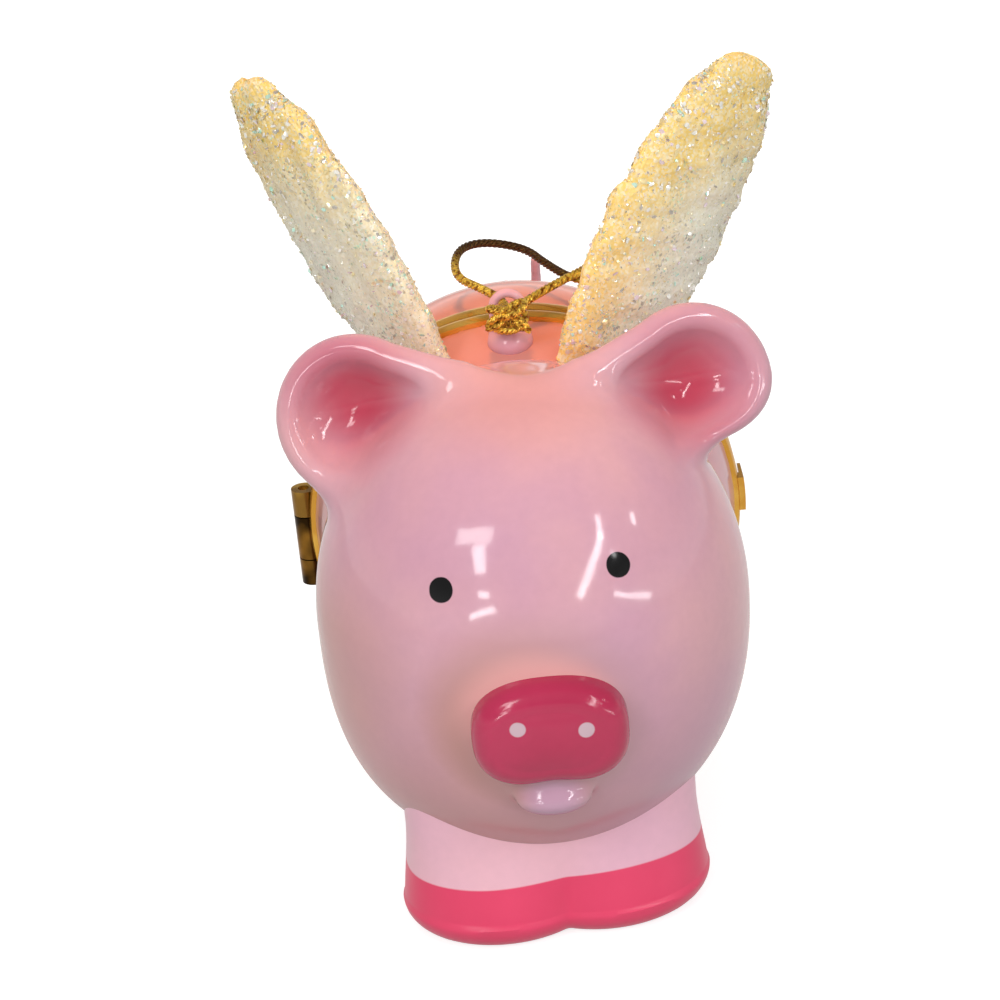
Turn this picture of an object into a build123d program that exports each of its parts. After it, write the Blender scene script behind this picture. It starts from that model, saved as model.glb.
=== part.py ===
from build123d import *
from build123d.topology import SkipClean
import os
from math import cos, hypot, radians, sin, sqrt, tan

os.makedirs("parts", exist_ok=True)

# A hinged ceramic trinket box in the form of a winged pig, in millimetres.
# X runs to the clasp side, Y from the face to the tail and Z up from the floor.
# Everything is first built about the head's upright axis, then moved so that the whole is centred.

# Head and body
HEAD_RADIUS = 24.0
HEAD_HALF_HEIGHT = 27.0
CROWN_FULLNESS = 0.56
JAW_FULLNESS = 0.65
CHIN_HEIGHT = 6.3
HEAD_Z = CHIN_HEIGHT + HEAD_HALF_HEIGHT
BODY_RADIUS = 25.2
BODY_HALF_LENGTH = 30.0
BODY_Y = 26.0
BODY_Z = HEAD_Z + 0.7
WALL = 3.0

# Plane where the box opens, and the metal rims on its two sides
PARTING_Y = 22.3
RIM_GAP = 0.2
RIM_WIDTH = 2.2
RIM_PROUD = 0.2
RIM_DOME = 0.25
RIM_FACE = 3.6
RIM_SHEET = 0.7
SKIRT_DEPTH = 4.0
CEMENT = 0.1

# Lower lip and snout
LIP_WIDTH = 9.6
LIP_HEIGHT = 3.8
LIP_DEPTH = 5.2
LIP_X = 0.5
LIP_DROP = 12.6
LIP_SINK = 0.2
SNOUT_WIDTH = 16.2
SNOUT_HEIGHT = 11.0
SNOUT_CORNER = 5.2
SNOUT_PROUD = 3.6
SNOUT_ROUND = 1.8
SNOUT_X = 0.6
SNOUT_DROP = 2.2

# Ears
EAR_RADIUS = 8.8
EAR_DEPTH = 5.4
EAR_THICKNESS = 2.6
EAR_ANGLE = 37.6
EAR_STAND = 3.6
EAR_BACK = 1.5
EAR_FACING = (0.15, -0.95, 0.22)

# Legs
LEG_HALF_WIDTH = 10.5
LEG_HALF_DEPTH = 8.7
LEG_SPREAD = 5.8
LEG_TOP = HEAD_Z - 11.3
FOOT_ROUND = 1.8
FRONT_LEGS_Y = -9.3
HIND_LEGS_Y = 40.0

# Wings, each on a peg in a socket of the shoulders and set by hand at its own angles
WING_LENGTH = 35.7
WING_CHORD = 19.5
WING_THICKNESS = 5.0
WING_ROOT_Y = 16.0
WING_ROOT_TILT = 24.0
LEFT_LEAN_ANGLE = 24.5
LEFT_SPLAY_ANGLE = 36.0
RIGHT_LEAN_ANGLE = 27.0
RIGHT_SPLAY_ANGLE = 54.0
WING_SWEEP = 9.5
# Share of the length, of the chord and of the thickness, then how far back the middle lies as a share
WING_SECTIONS = [
    (-0.11, 0.42, 0.74, 0.00),
    (0.06, 0.50, 0.84, 0.02),
    (0.22, 0.86, 1.00, 0.16),
    (0.39, 1.00, 1.00, 0.20),
    (0.56, 0.99, 0.96, 0.20),
    (0.72, 0.92, 0.90, 0.21),
    (0.86, 0.77, 0.80, 0.22),
    (0.96, 0.56, 0.66, 0.21),
    (1.00, 0.36, 0.48, 0.20),
]
WING_CLEARANCE = 0.6
PEG_RADIUS = 1.6
PEG_DEPTH = 1.8
PEG_FIT = 0.1

# Tail, a curl of one loop with its tip turned up
TAIL_RADIUS = 1.1
TAIL_LOOP = 2.7
TAIL_ANGLE = 23.4
TAIL_TIP_RISE = 10.2

# Eyelet for the cord
EYELET_Y = 16.3
EYELET_HEIGHT = 6.2
EYELET_BEND = 1.4
EYELET_RADIUS = 0.7
EYELET_BASE_RADIUS = 2.4
EYELET_BASE_HALF_HEIGHT = 1.8

# Hinge on the left and clasp on the right
BARREL_RADIUS = 1.5
BARREL_SET_OUT = 0.3
PIN_RADIUS = 0.65
PIN_RUNNING_FIT = 0.05
PIN_GRIP_FIT = 0.01
PIN_RECESS = 0.5
MIDDLE_KNUCKLE = 5.4
OUTER_KNUCKLE = 3.2
KNUCKLE_GAP = 0.15
NOTCH_GAP = 0.3
CLASP_Z = HEAD_Z + 1.2
TONGUE_HEIGHT = 4.2
TONGUE_THICKNESS = 0.4
TONGUE_LIFT = 0.2
TONGUE_FRONT = 1.9
TONGUE_BACK = 2.3
TONGUE_SLOT = 2.4
CATCH_RADIUS = 0.9
CATCH_BACK = 1.2

# Cord: points of its route, measured from the middle of the eyelet's bend
CORD_RADIUS = 0.55
CORD_ROUTE = [
    (0.0, -2.4, -0.3),
    (-0.1, 1.3, 0.05),
    (-2.4, 5.0, 0.7),
    (-5.2, 9.5, 1.2),
    (-4.5, 15.3, 1.7),
    (-1.2, 19.1, 1.8),
    (3.6, 17.9, 1.6),
    (5.4, 12.7, 1.0),
    (8.0, 8.0, -0.6),
    (13.2, 8.1, -1.3),
    (17.4, 10.9, -1.1),
    (20.6, 15.3, -0.6),
    (20.8, 20.3, -0.2),
    (17.6, 23.1, 0.3),
    (13.6, 21.9, 0.8),
    (12.0, 17.2, 1.2),
    (10.9, 12.7, 1.2),
    (9.9, 8.3, 0.9),
    (6.6, 5.5, 0.6),
    (3.2, 3.0, -0.1),
    (0.4, 1.3, -1.0),
    (-0.5, -2.3, -1.5),
]
KNOT_RADIUS = 1.9
KNOT_HALF_LENGTH = 2.6
KNOT_PLACE = (0.0, -3.1, -0.8)


def body_radius(y):
    """Radius of the body at a distance y behind the head's axis."""
    return BODY_RADIUS * sqrt(1 - ((y - BODY_Y) / BODY_HALF_LENGTH) ** 2)


def head_reach(angle):
    """Distance from the head's centre to its side outline, at an angle from upright."""
    return 1 / hypot(sin(radians(angle)) / HEAD_RADIUS, cos(radians(angle)) / HEAD_HALF_HEIGHT)


RIM_RADIUS = body_radius(PARTING_Y) + RIM_PROUD
RIM_INNER = RIM_RADIUS - RIM_FACE
FRONT_FACE = PARTING_Y - RIM_GAP / 2
REAR_FACE = PARTING_Y + RIM_GAP / 2
HINGE_X = -(RIM_RADIUS + RIM_DOME + BARREL_SET_OUT)
EYELET_Z = BODY_Z + body_radius(EYELET_Y) + EYELET_HEIGHT - EYELET_RADIUS - EYELET_BEND
FAR = 200.0


def join(*solids):
    """Fuses solids and keeps the seams of the castings, which run down the middle of the figure."""
    with SkipClean():
        whole = solids[0]
        for solid in solids[1:]:
            whole = whole + solid
    return whole


def trim(solid, *tools):
    """Cuts tools away and keeps the seams too."""
    with SkipClean():
        for tool in tools:
            solid = solid - tool
    return solid


def turned(*outline):
    """An outline turned about its upright axis, in two halves that meet at a seam."""
    profile = Plane.XZ * make_face([line.edge() for line in outline])
    half = Rot(0, 0, -90) * revolve(profile, Axis.Z, 180)
    return join(half, mirror(half, Plane.YZ))


def spheroid(radius, half_axis):
    """A ball drawn out along its axis."""
    arc = EllipticalCenterArc((0, 0), radius, half_axis, start_angle=-90, arc_size=180)
    return turned(arc, Line(arc @ 1, arc @ 0))


def egg(radius, half_height):
    """The head's form: a round crown over a fuller jaw."""
    jaw = Bezier(
        (0, -half_height),
        (JAW_FULLNESS * radius, -half_height),
        (radius, -JAW_FULLNESS * half_height),
        (radius, 0),
    )
    crown = Bezier(
        (radius, 0),
        (radius, CROWN_FULLNESS * half_height),
        (CROWN_FULLNESS * radius, half_height),
        (0, half_height),
    )
    return turned(jaw, crown, Line(crown @ 1, jaw @ 0))


def ball(half_width, half_depth, half_height):
    """A small ball pressed to three sizes."""
    return scale(Sphere(1), by=(half_width, half_depth, half_height))


def lengthwise(solid):
    """Turns an upright solid to lie along Y."""
    return Rot(90, 0, 0) * solid


def round_bar(radius, start_y, end_y):
    """A cylinder along the body's axis."""
    middle = Pos(0, (start_y + end_y) / 2, BODY_Z)
    return middle * lengthwise(Cylinder(radius, abs(end_y - start_y)))


def hinge_bar(radius, low_z, high_z):
    """A cylinder on the hinge axis."""
    return Pos(HINGE_X, PARTING_Y, (low_z + high_z) / 2) * Cylinder(radius, high_z - low_z)


head = Pos(0, 0, HEAD_Z) * egg(HEAD_RADIUS, HEAD_HALF_HEIGHT)
body = Pos(0, BODY_Y, BODY_Z) * lengthwise(spheroid(BODY_RADIUS, BODY_HALF_LENGTH))
head_hollow = Pos(0, 0, HEAD_Z) * egg(HEAD_RADIUS - WALL, HEAD_HALF_HEIGHT - WALL)
body_hollow = Pos(0, BODY_Y, BODY_Z) * lengthwise(spheroid(BODY_RADIUS - WALL, BODY_HALF_LENGTH - WALL))
lip_y = LIP_SINK - HEAD_RADIUS * sqrt(1 - (LIP_DROP / HEAD_HALF_HEIGHT) ** 2)
lip = Pos(LIP_X, lip_y, HEAD_Z - LIP_DROP) * ball(LIP_WIDTH / 2, LIP_DEPTH / 2, LIP_HEIGHT / 2)
head_and_body = join(head, body)

# Heights of the three hinge knuckles
middle_low = HEAD_Z - MIDDLE_KNUCKLE / 2
middle_high = HEAD_Z + MIDDLE_KNUCKLE / 2
upper_low = middle_high + KNUCKLE_GAP
upper_high = upper_low + OUTER_KNUCKLE
lower_high = middle_low - KNUCKLE_GAP
lower_low = lower_high - OUTER_KNUCKLE

# Room cut in each half: a snug bed for its own knuckles and a clear notch for the other half's
CLEAR_RADIUS = BARREL_RADIUS + NOTCH_GAP
front_room = hinge_bar(BARREL_RADIUS, middle_low, middle_high)
front_room += hinge_bar(CLEAR_RADIUS, middle_high, upper_high + NOTCH_GAP)
front_room += hinge_bar(CLEAR_RADIUS, lower_low - NOTCH_GAP, middle_low)
rear_room = hinge_bar(CLEAR_RADIUS, lower_high, upper_low)
rear_room += hinge_bar(BARREL_RADIUS, upper_low, upper_high)
rear_room += hinge_bar(BARREL_RADIUS, lower_low, lower_high)


def mouth_cut(face_y, side):
    """What a shell loses at its mouth: the end, the step under the rim's band and the skirt's bore."""
    end = face_y + side * (RIM_SHEET + CEMENT)
    step = face_y + side * (RIM_WIDTH + CEMENT)
    bore = face_y + side * (SKIRT_DEPTH + CEMENT)
    lip_radius = RIM_RADIUS - RIM_SHEET - CEMENT
    cut = Pos(0, end - side * FAR / 2, BODY_Z) * Box(FAR, FAR, FAR)
    cut += round_bar(FAR / 2, end, step) - round_bar(lip_radius, end, step)
    return cut + round_bar(RIM_INNER + RIM_SHEET + CEMENT, end, bore)


def make_rim(face_y, side):
    """A channel of gilt sheet: a domed band outside, a face on the parting plane and a skirt inside."""
    band_inner = RIM_RADIUS - RIM_SHEET
    skirt_outer = RIM_INNER + RIM_SHEET

    def at(radius, depth):
        return (radius, face_y + side * depth)

    dome = ThreePointArc(
        at(RIM_RADIUS, 0),
        at(RIM_RADIUS + RIM_DOME, RIM_WIDTH / 2),
        at(RIM_RADIUS, RIM_WIDTH),
    )
    inside = Polyline(
        at(RIM_RADIUS, RIM_WIDTH),
        at(band_inner, RIM_WIDTH),
        at(band_inner, RIM_SHEET),
        at(skirt_outer, RIM_SHEET),
        at(skirt_outer, SKIRT_DEPTH),
        at(RIM_INNER, SKIRT_DEPTH),
        at(RIM_INNER, 0),
        at(RIM_RADIUS, 0),
    )
    return Pos(0, 0, BODY_Z) * revolve(make_face(dome + inside), Axis.Y)


def make_snout():
    """A rounded disc on the front of the head, its face square to Y."""
    front = Plane.XZ.offset(HEAD_RADIUS + SNOUT_PROUD)
    face = front * RectangleRounded(SNOUT_WIDTH, SNOUT_HEIGHT, SNOUT_CORNER)
    disc = extrude(face, -HEAD_RADIUS / 2)
    front_edges = disc.faces().sort_by(Axis.Y)[0].edges()
    disc = fillet(front_edges, SNOUT_ROUND)
    return trim(Pos(SNOUT_X, 0, HEAD_Z - SNOUT_DROP) * disc, head, lip)


def make_ear():
    """A thick cup with a rounded rim, set on the head and facing forward."""
    inner_radius = EAR_RADIUS - EAR_THICKNESS
    inner_depth = EAR_DEPTH - EAR_THICKNESS
    rim_top = (EAR_RADIUS - EAR_THICKNESS / 2, EAR_THICKNESS / 2)
    outside = ThreePointArc((0, -EAR_DEPTH), (0.72 * EAR_RADIUS, -0.62 * EAR_DEPTH), (EAR_RADIUS, 0))
    rim = ThreePointArc((EAR_RADIUS, 0), rim_top, (inner_radius, 0))
    inside = ThreePointArc((inner_radius, 0), (0.7 * inner_radius, -0.55 * inner_depth), (0, -inner_depth))
    closing = Line((0, -inner_depth), (0, -EAR_DEPTH))
    cup = turned(outside, rim, inside, closing)
    reach = head_reach(EAR_ANGLE) + EAR_STAND
    place = (reach * sin(radians(EAR_ANGLE)), EAR_BACK, HEAD_Z + reach * cos(radians(EAR_ANGLE)))
    return trim(Plane(origin=place, z_dir=EAR_FACING) * cup, head)


def make_legs(y):
    """Two short legs in one casting, with a shallow groove between them and flat feet."""
    leg = extrude(Ellipse(LEG_HALF_WIDTH, LEG_HALF_DEPTH), LEG_TOP)
    leg = fillet(leg.faces().sort_by(Axis.Z)[0].edges(), FOOT_ROUND)
    return trim(Pos(-LEG_SPREAD, y, 0) * leg + Pos(LEG_SPREAD, y, 0) * leg, head_and_body)


def wing_plane(lean, splay, distance, set_back):
    """The plane of a section of the right wing, its X axis along the chord."""
    root_radius = body_radius(WING_ROOT_Y)
    root = Vector(
        root_radius * sin(radians(WING_ROOT_TILT)),
        WING_ROOT_Y,
        BODY_Z + root_radius * cos(radians(WING_ROOT_TILT)),
    )
    up = Vector(tan(radians(lean)), tan(radians(WING_SWEEP)), 1).normalized()
    level_back = Vector(sin(radians(splay)), cos(radians(splay)), 0)
    back = (level_back - up * level_back.dot(up)).normalized()
    return Plane(origin=root + up * distance + back * set_back, x_dir=back, z_dir=up)


def make_wing(lean, splay):
    """A blade lofted through oval sections, seated on the shoulders, with a peg below."""
    sections = []
    for along, chord, thickness, set_back in WING_SECTIONS:
        oval = Ellipse(chord * WING_CHORD / 2, thickness * WING_THICKNESS / 2)
        sections.append(wing_plane(lean, splay, along * WING_LENGTH, set_back * WING_CHORD) * oval)
    blade = loft(sections)
    rear_start = FRONT_FACE - RIM_WIDTH - WING_CLEARANCE
    keep_clear = round_bar(BODY_RADIUS + WING_CLEARANCE, rear_start, BODY_Y + BODY_HALF_LENGTH)
    peg = wing_plane(lean, splay, 0, 0) * Cylinder(PEG_RADIUS, 2 * PEG_DEPTH)
    return trim(blade, head_and_body, keep_clear) + peg


def make_socket(lean, splay):
    """The hole in the shoulders that takes a wing's peg."""
    return wing_plane(lean, splay, 0, 0) * Cylinder(PEG_RADIUS + PEG_FIT, 2 * (PEG_DEPTH + PEG_FIT))


def make_eyelet():
    """A small arch with a rounded foot, for the cord."""
    foot_z = BODY_Z + body_radius(EYELET_Y)
    left_side = Line((-EYELET_BEND, foot_z - WALL / 2), (-EYELET_BEND, EYELET_Z))
    bend = ThreePointArc(
        (-EYELET_BEND, EYELET_Z),
        (0, EYELET_Z + EYELET_BEND),
        (EYELET_BEND, EYELET_Z),
    )
    right_side = Line((EYELET_BEND, EYELET_Z), (EYELET_BEND, foot_z - WALL / 2))
    path = Plane.XZ.offset(-EYELET_Y) * (left_side + bend + right_side)
    section = Pos(-EYELET_BEND, EYELET_Y, foot_z - WALL / 2) * Circle(EYELET_RADIUS)
    arch = sweep(section, path)
    foot = Pos(0, EYELET_Y, foot_z) * ball(EYELET_BASE_RADIUS, EYELET_BASE_RADIUS, EYELET_BASE_HALF_HEIGHT)
    return trim(arch + foot, head_and_body)


def make_tail():
    """A round bar bent into one loop behind the rump, its tip turned up."""
    start_z = BODY_Z + BODY_RADIUS * sin(radians(TAIL_ANGLE))
    skin_y = BODY_Y + BODY_HALF_LENGTH * cos(radians(TAIL_ANGLE))
    step = 1.2 * TAIL_RADIUS
    loop = [
        (0, skin_y - 3.0, start_z - 0.6),
        (0, skin_y + 1.0, start_z),
        (TAIL_LOOP, skin_y + 1.0 + step, start_z + TAIL_LOOP),
        (0, skin_y + 1.0 + 1.5 * step, start_z + 2 * TAIL_LOOP),
        (-TAIL_LOOP, skin_y + 1.0 + 2 * step, start_z + TAIL_LOOP),
        (0, skin_y + 1.0 + 2.5 * step, start_z + 0.3 * TAIL_LOOP),
        (1.3 * TAIL_LOOP, skin_y + 1.0 + 2.2 * step, start_z + 1.4 * TAIL_LOOP),
        (1.5 * TAIL_LOOP, skin_y + 1.0 + 1.2 * step, start_z + TAIL_TIP_RISE),
    ]
    centre = Spline(*loop)
    bar = sweep(Plane(centre @ 0, z_dir=centre % 0) * Circle(TAIL_RADIUS), centre)
    tip = Pos(*loop[-1]) * Sphere(TAIL_RADIUS)
    return trim(bar + tip, body)


def make_tongue():
    """A sprung fork: soldered to the front rim, it straddles the catch on the rear rim."""
    inner = RIM_RADIUS + RIM_DOME + TONGUE_LIFT
    front_y = PARTING_Y - TONGUE_FRONT
    back_y = PARTING_Y + TONGUE_BACK
    strap = round_bar(inner + TONGUE_THICKNESS, front_y, back_y) - round_bar(inner, front_y, back_y)
    foot_back = FRONT_FACE - RIM_GAP
    foot = round_bar(inner, front_y, foot_back) - round_bar(RIM_RADIUS, front_y, foot_back)
    window = Pos(inner, PARTING_Y, CLASP_Z) * Box(inner, FAR, TONGUE_HEIGHT)
    slot = Pos(inner, PARTING_Y + FAR / 2 + RIM_GAP, CLASP_Z) * Box(inner, FAR, TONGUE_SLOT)
    return ((strap + foot) & window) - slot - front_rim


def cord_point(offset):
    """A point of the cord's route in the place where the eyelet stands."""
    return Vector(0, EYELET_Y, EYELET_Z) + Vector(*offset)


def bend_radius(before, corner, after):
    """Radius of a bend that uses up to 0.45 of the shorter of its two straight runs."""
    run_in = corner - before
    run_out = after - corner
    turn = run_in.get_angle(run_out)
    return 0.45 * min(run_in.length, run_out.length) / tan(radians(turn / 2))


def make_cord():
    """A round tube along straight runs joined by tangent bends."""
    points = [cord_point(offset) for offset in CORD_ROUTE]
    bends = [bend_radius(*three) for three in zip(points, points[1:], points[2:])]
    route = FilletPolyline(*points, radius=bends)
    tube = sweep(Plane(route @ 0, z_dir=route % 0) * Circle(CORD_RADIUS), route)
    section_volume = Circle(CORD_RADIUS).area * route.length
    print("cord length", round(route.length, 1), "bends", [round(r, 1) for r in bends])
    print("cord volume", round(tube.volume, 2), "section times length", round(section_volume, 2))
    return tube


def make_knot():
    """The knot's outer bulk, across the cord's two ends."""
    return Pos(*cord_point(KNOT_PLACE)) * ball(KNOT_HALF_LENGTH, KNOT_RADIUS, KNOT_RADIUS)


front_rim = make_rim(FRONT_FACE, -1) - front_room
rear_rim = make_rim(REAR_FACE, 1) - rear_room

front_shell = trim(join(head_and_body, lip), join(head_hollow, body_hollow))
front_shell = trim(front_shell, mouth_cut(FRONT_FACE, -1), front_room)
right_socket = make_socket(RIGHT_LEAN_ANGLE, RIGHT_SPLAY_ANGLE)
left_socket = mirror(make_socket(LEFT_LEAN_ANGLE, LEFT_SPLAY_ANGLE), Plane.YZ)
front_shell = trim(front_shell, right_socket, left_socket)
rear_shell = trim(body, body_hollow, mouth_cut(REAR_FACE, 1), rear_room)

right_ear = make_ear()
catch = Pos(RIM_RADIUS + RIM_DOME / 2, PARTING_Y + CATCH_BACK, CLASP_Z) * Sphere(CATCH_RADIUS)
pin_low = lower_low + PIN_RECESS
pin_high = upper_high - PIN_RECESS
grip_hole = hinge_bar(PIN_RADIUS + PIN_GRIP_FIT, lower_low, upper_high)
running_hole = hinge_bar(PIN_RADIUS + PIN_RUNNING_FIT, middle_low, middle_high)

rigid_nodes = {
    "front_shell": front_shell,
    "left_ear": mirror(right_ear, Plane.YZ),
    "right_ear": right_ear,
    "snout": make_snout(),
    "front_legs": make_legs(FRONT_LEGS_Y),
    "hanging_eyelet": make_eyelet(),
    "left_wing": mirror(make_wing(LEFT_LEAN_ANGLE, LEFT_SPLAY_ANGLE), Plane.YZ),
    "right_wing": make_wing(RIGHT_LEAN_ANGLE, RIGHT_SPLAY_ANGLE),
    "front_rim": front_rim,
    "hinge_middle_knuckle": hinge_bar(BARREL_RADIUS, middle_low, middle_high) - running_hole,
    "clasp_tongue": make_tongue(),
    "rear_shell": rear_shell,
    "hind_legs": make_legs(HIND_LEGS_Y),
    "tail": make_tail(),
    "rear_rim": rear_rim,
    "hinge_upper_knuckle": hinge_bar(BARREL_RADIUS, upper_low, upper_high) - grip_hole,
    "hinge_lower_knuckle": hinge_bar(BARREL_RADIUS, lower_low, lower_high) - grip_hole,
    "hinge_pin": hinge_bar(PIN_RADIUS, pin_low, pin_high),
    "clasp_catch": catch - round_bar(RIM_RADIUS, REAR_FACE, REAR_FACE + RIM_WIDTH) - rear_rim,
}
soft_nodes = {"hanging_cord": make_cord(), "cord_knot": make_knot()}

# The origin lies on the floor, midway between the snout and the tail and between the two wings
rigid_solids = [solid for node in rigid_nodes.values() for solid in node.solids()]
whole = Compound(children=rigid_solids).bounding_box()
to_centre = Pos(-whole.center().X, -whole.center().Y, 0)
print("moved by", to_centre.position, "whole size", whole.size)

for node, solid in {**rigid_nodes, **soft_nodes}.items():
    export_step(to_centre * solid, f"parts/{node}.step")
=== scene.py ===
# %% [markdown]
# # A winged pig that opens: dressing a hinged ceramic trinket box
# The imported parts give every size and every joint: two ceramic shells, gilt rims, a hinge, a clasp, wings
# and a cord. This lesson loads them as a fixed frame and makes the surfaces that a camera sees, such as
# glaze, glitter and twisted gold thread. All lengths below are millimetres, measured from the head's
# upright axis and the floor, because those are the numbers a potter would know. One function moves them
# to the frame's metres.

import bpy
import numpy as np
from mathutils import Matrix, Vector


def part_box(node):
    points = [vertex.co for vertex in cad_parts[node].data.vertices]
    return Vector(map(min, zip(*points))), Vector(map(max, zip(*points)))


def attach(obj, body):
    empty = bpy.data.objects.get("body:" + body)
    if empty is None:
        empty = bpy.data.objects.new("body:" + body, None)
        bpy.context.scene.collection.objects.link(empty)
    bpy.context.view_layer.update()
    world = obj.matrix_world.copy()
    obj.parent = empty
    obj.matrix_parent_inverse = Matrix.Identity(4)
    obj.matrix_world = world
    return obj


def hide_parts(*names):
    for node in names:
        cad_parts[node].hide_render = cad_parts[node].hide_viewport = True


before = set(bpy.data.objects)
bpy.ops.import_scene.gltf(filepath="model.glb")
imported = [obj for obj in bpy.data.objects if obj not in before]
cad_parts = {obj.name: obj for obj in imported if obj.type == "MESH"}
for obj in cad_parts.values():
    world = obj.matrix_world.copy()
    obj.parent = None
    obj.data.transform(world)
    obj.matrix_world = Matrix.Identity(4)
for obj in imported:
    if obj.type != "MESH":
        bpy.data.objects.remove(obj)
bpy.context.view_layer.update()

MM = 0.001
FRONT_HALF = "front half"
REAR_HALF = "rear half"
FRONT_LEGS_Y = -9.3
HIND_LEGS_Y = 40.0

legs_low, legs_high = (np.array(corner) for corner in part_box("front_legs"))
legs_middle = (legs_low + legs_high) / 2
HEAD_AXIS = np.array([legs_middle[0], legs_middle[1] - FRONT_LEGS_Y * MM, 0.0])


def to_row(points):
    """Moves millimetres about the head's axis to metres in the frame."""
    return HEAD_AXIS + MM * np.asarray(points, dtype=float)


print("nodes", len(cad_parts), "head axis", HEAD_AXIS.round(5))

# %% [markdown]
# ## The camera
# The photograph looks down on the face from a little above, from close by, and the ornament leans
# slightly. Three facts fix the view: the angle above the level, the distance to the middle of the head,
# and how many pixels a millimetre takes there. The lens follows from the last two, and a small shift puts
# the head where it is in the picture, which keeps the view's perspective as it was.

# %% Camera
HEAD_Z = 33.3
VIEW_ANGLE = np.radians(27)
VIEW_ROLL = np.radians(5)
VIEW_DISTANCE = 290.0
PIXELS_PER_MM = 9.0
PICTURE_WIDTH = 1000
HEAD_PIXEL = (533, 600)
SENSOR = 36.0
NEAREST_SEEN = 0.01

head_centre = Vector(to_row((0, 0, HEAD_Z)))
camera_data = bpy.data.cameras.new("camera")
camera_data.sensor_width = SENSOR
camera_data.lens = PIXELS_PER_MM * VIEW_DISTANCE * SENSOR / PICTURE_WIDTH
camera_data.shift_x = (PICTURE_WIDTH / 2 - HEAD_PIXEL[0]) / PICTURE_WIDTH
camera_data.shift_y = (HEAD_PIXEL[1] - PICTURE_WIDTH / 2) / PICTURE_WIDTH
camera_data.clip_start = NEAREST_SEEN
camera = bpy.data.objects.new("camera", camera_data)
bpy.context.collection.objects.link(camera)
camera_turn = Matrix.Rotation(np.pi / 2 - VIEW_ANGLE, 4, "X") @ Matrix.Rotation(-VIEW_ROLL, 4, "Z")
camera_step = camera_turn @ Vector((0, 0, VIEW_DISTANCE * MM))
camera.matrix_world = Matrix.Translation(head_centre + camera_step) @ camera_turn
bpy.context.scene.camera = camera
bpy.context.scene.view_settings.view_transform = "Standard"
print("lens", round(camera_data.lens, 1), "camera at", [round(c, 4) for c in camera.location])

# %% [markdown]
# ## Nodes without repetition
# Every material below is a small tree of shader nodes. Adding a node, setting its options and wiring its
# inputs is the same three steps each time, so one helper does them: an input given as a socket is linked,
# and any other value is typed into it. Shorter helpers stand for the nodes that most trees need. They
# give their result as a socket, so that a material reads like a few lines of arithmetic.

# %% Node helpers
def fill(tree, node, values):
    """Links each input that is given as a socket, and types any other value into it."""
    for name, value in values.items():
        if isinstance(value, bpy.types.NodeSocket):
            tree.links.new(value, node.inputs[name])
        else:
            node.inputs[name].default_value = value
    return node


def add_node(tree, kind, inputs=None, **options):
    """Adds a node, sets its options, then fills its inputs."""
    node = tree.nodes.new(kind)
    for name, value in options.items():
        setattr(node, name, value)
    return fill(tree, node, inputs or {})


def new_group(name, inputs, outputs):
    """Starts a shader node group and gives its tree, its input node and its output node."""
    tree = bpy.data.node_groups.new(name, "ShaderNodeTree")
    for label, kind, value in inputs:
        socket = tree.interface.new_socket(label, in_out="INPUT", socket_type=kind)
        socket.default_value = value
    for label, kind in outputs:
        tree.interface.new_socket(label, in_out="OUTPUT", socket_type=kind)
    return tree, tree.nodes.new("NodeGroupInput"), tree.nodes.new("NodeGroupOutput")


def new_material(name, **constants):
    """A material with its Principled shader, on which constant values are typed."""
    material = bpy.data.materials.new(name)
    material.use_nodes = True
    tree = material.node_tree
    return material, tree, fill(tree, tree.nodes["Principled BSDF"], constants)


def rgb(red, green, blue):
    """A colour on screen, 0 to 255, turned by the sRGB curve to the linear values that nodes use."""
    seen = np.array([red, green, blue]) / 255
    linear = np.where(seen <= 0.04045, seen / 12.92, ((seen + 0.055) / 1.055) ** 2.4)
    return (*linear.tolist(), 1.0)


print("half way to white on screen is", round(rgb(128, 128, 128)[0], 3), "of the light")

# %% Nodes that most trees need
S_CURVE = "SMOOTHSTEP"


def place_of(tree):
    """Where a point of the surface is, in Object coordinates."""
    return add_node(tree, "ShaderNodeTexCoord").outputs["Object"]


def axes_of(tree, vector):
    """The X, Y and Z of a vector."""
    return add_node(tree, "ShaderNodeSeparateXYZ", {"Vector": vector}).outputs


def calculate(tree, operation, *values, clamp=False):
    """One step of arithmetic on numbers and sockets."""
    node = add_node(tree, "ShaderNodeMath", dict(enumerate(values)), operation=operation, use_clamp=clamp)
    return node.outputs[0]


def remap(tree, value, start, end, least=0.0, most=1.0, curve="LINEAR"):
    """Least where a value is at its start, most at its end, and on a straight line or an S between them."""
    inputs = {"Value": value, "From Min": start, "From Max": end, "To Min": least, "To Max": most}
    return add_node(tree, "ShaderNodeMapRange", inputs, interpolation_type=curve).outputs["Result"]


def mix(tree, factor, first, second):
    """A colour that goes from the first to the second as the factor goes from 0 to 1."""
    inputs = {"Factor": factor, "A": first, "B": second}
    return add_node(tree, "ShaderNodeMix", inputs, data_type="RGBA").outputs["Result"]


def noise(tree, place, scale, detail):
    """A cloudy number about one half, with patches about a metre divided by the scale across."""
    inputs = {"Vector": place, "Scale": scale, "Detail": detail}
    return add_node(tree, "ShaderNodeTexNoise", inputs).outputs["Fac"]


def stored(tree, name):
    """A number that the mesh keeps for each of its points."""
    return add_node(tree, "ShaderNodeAttribute", attribute_name=name).outputs["Fac"]


def raise_bump(tree, shader, height, strength, depth):
    """Tilts the shader's normal as bumps of that depth, in metres, would."""
    inputs = {"Height": height, "Strength": strength, "Distance": depth}
    fill(tree, shader, {"Normal": add_node(tree, "ShaderNodeBump", inputs).outputs["Normal"]})


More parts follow.
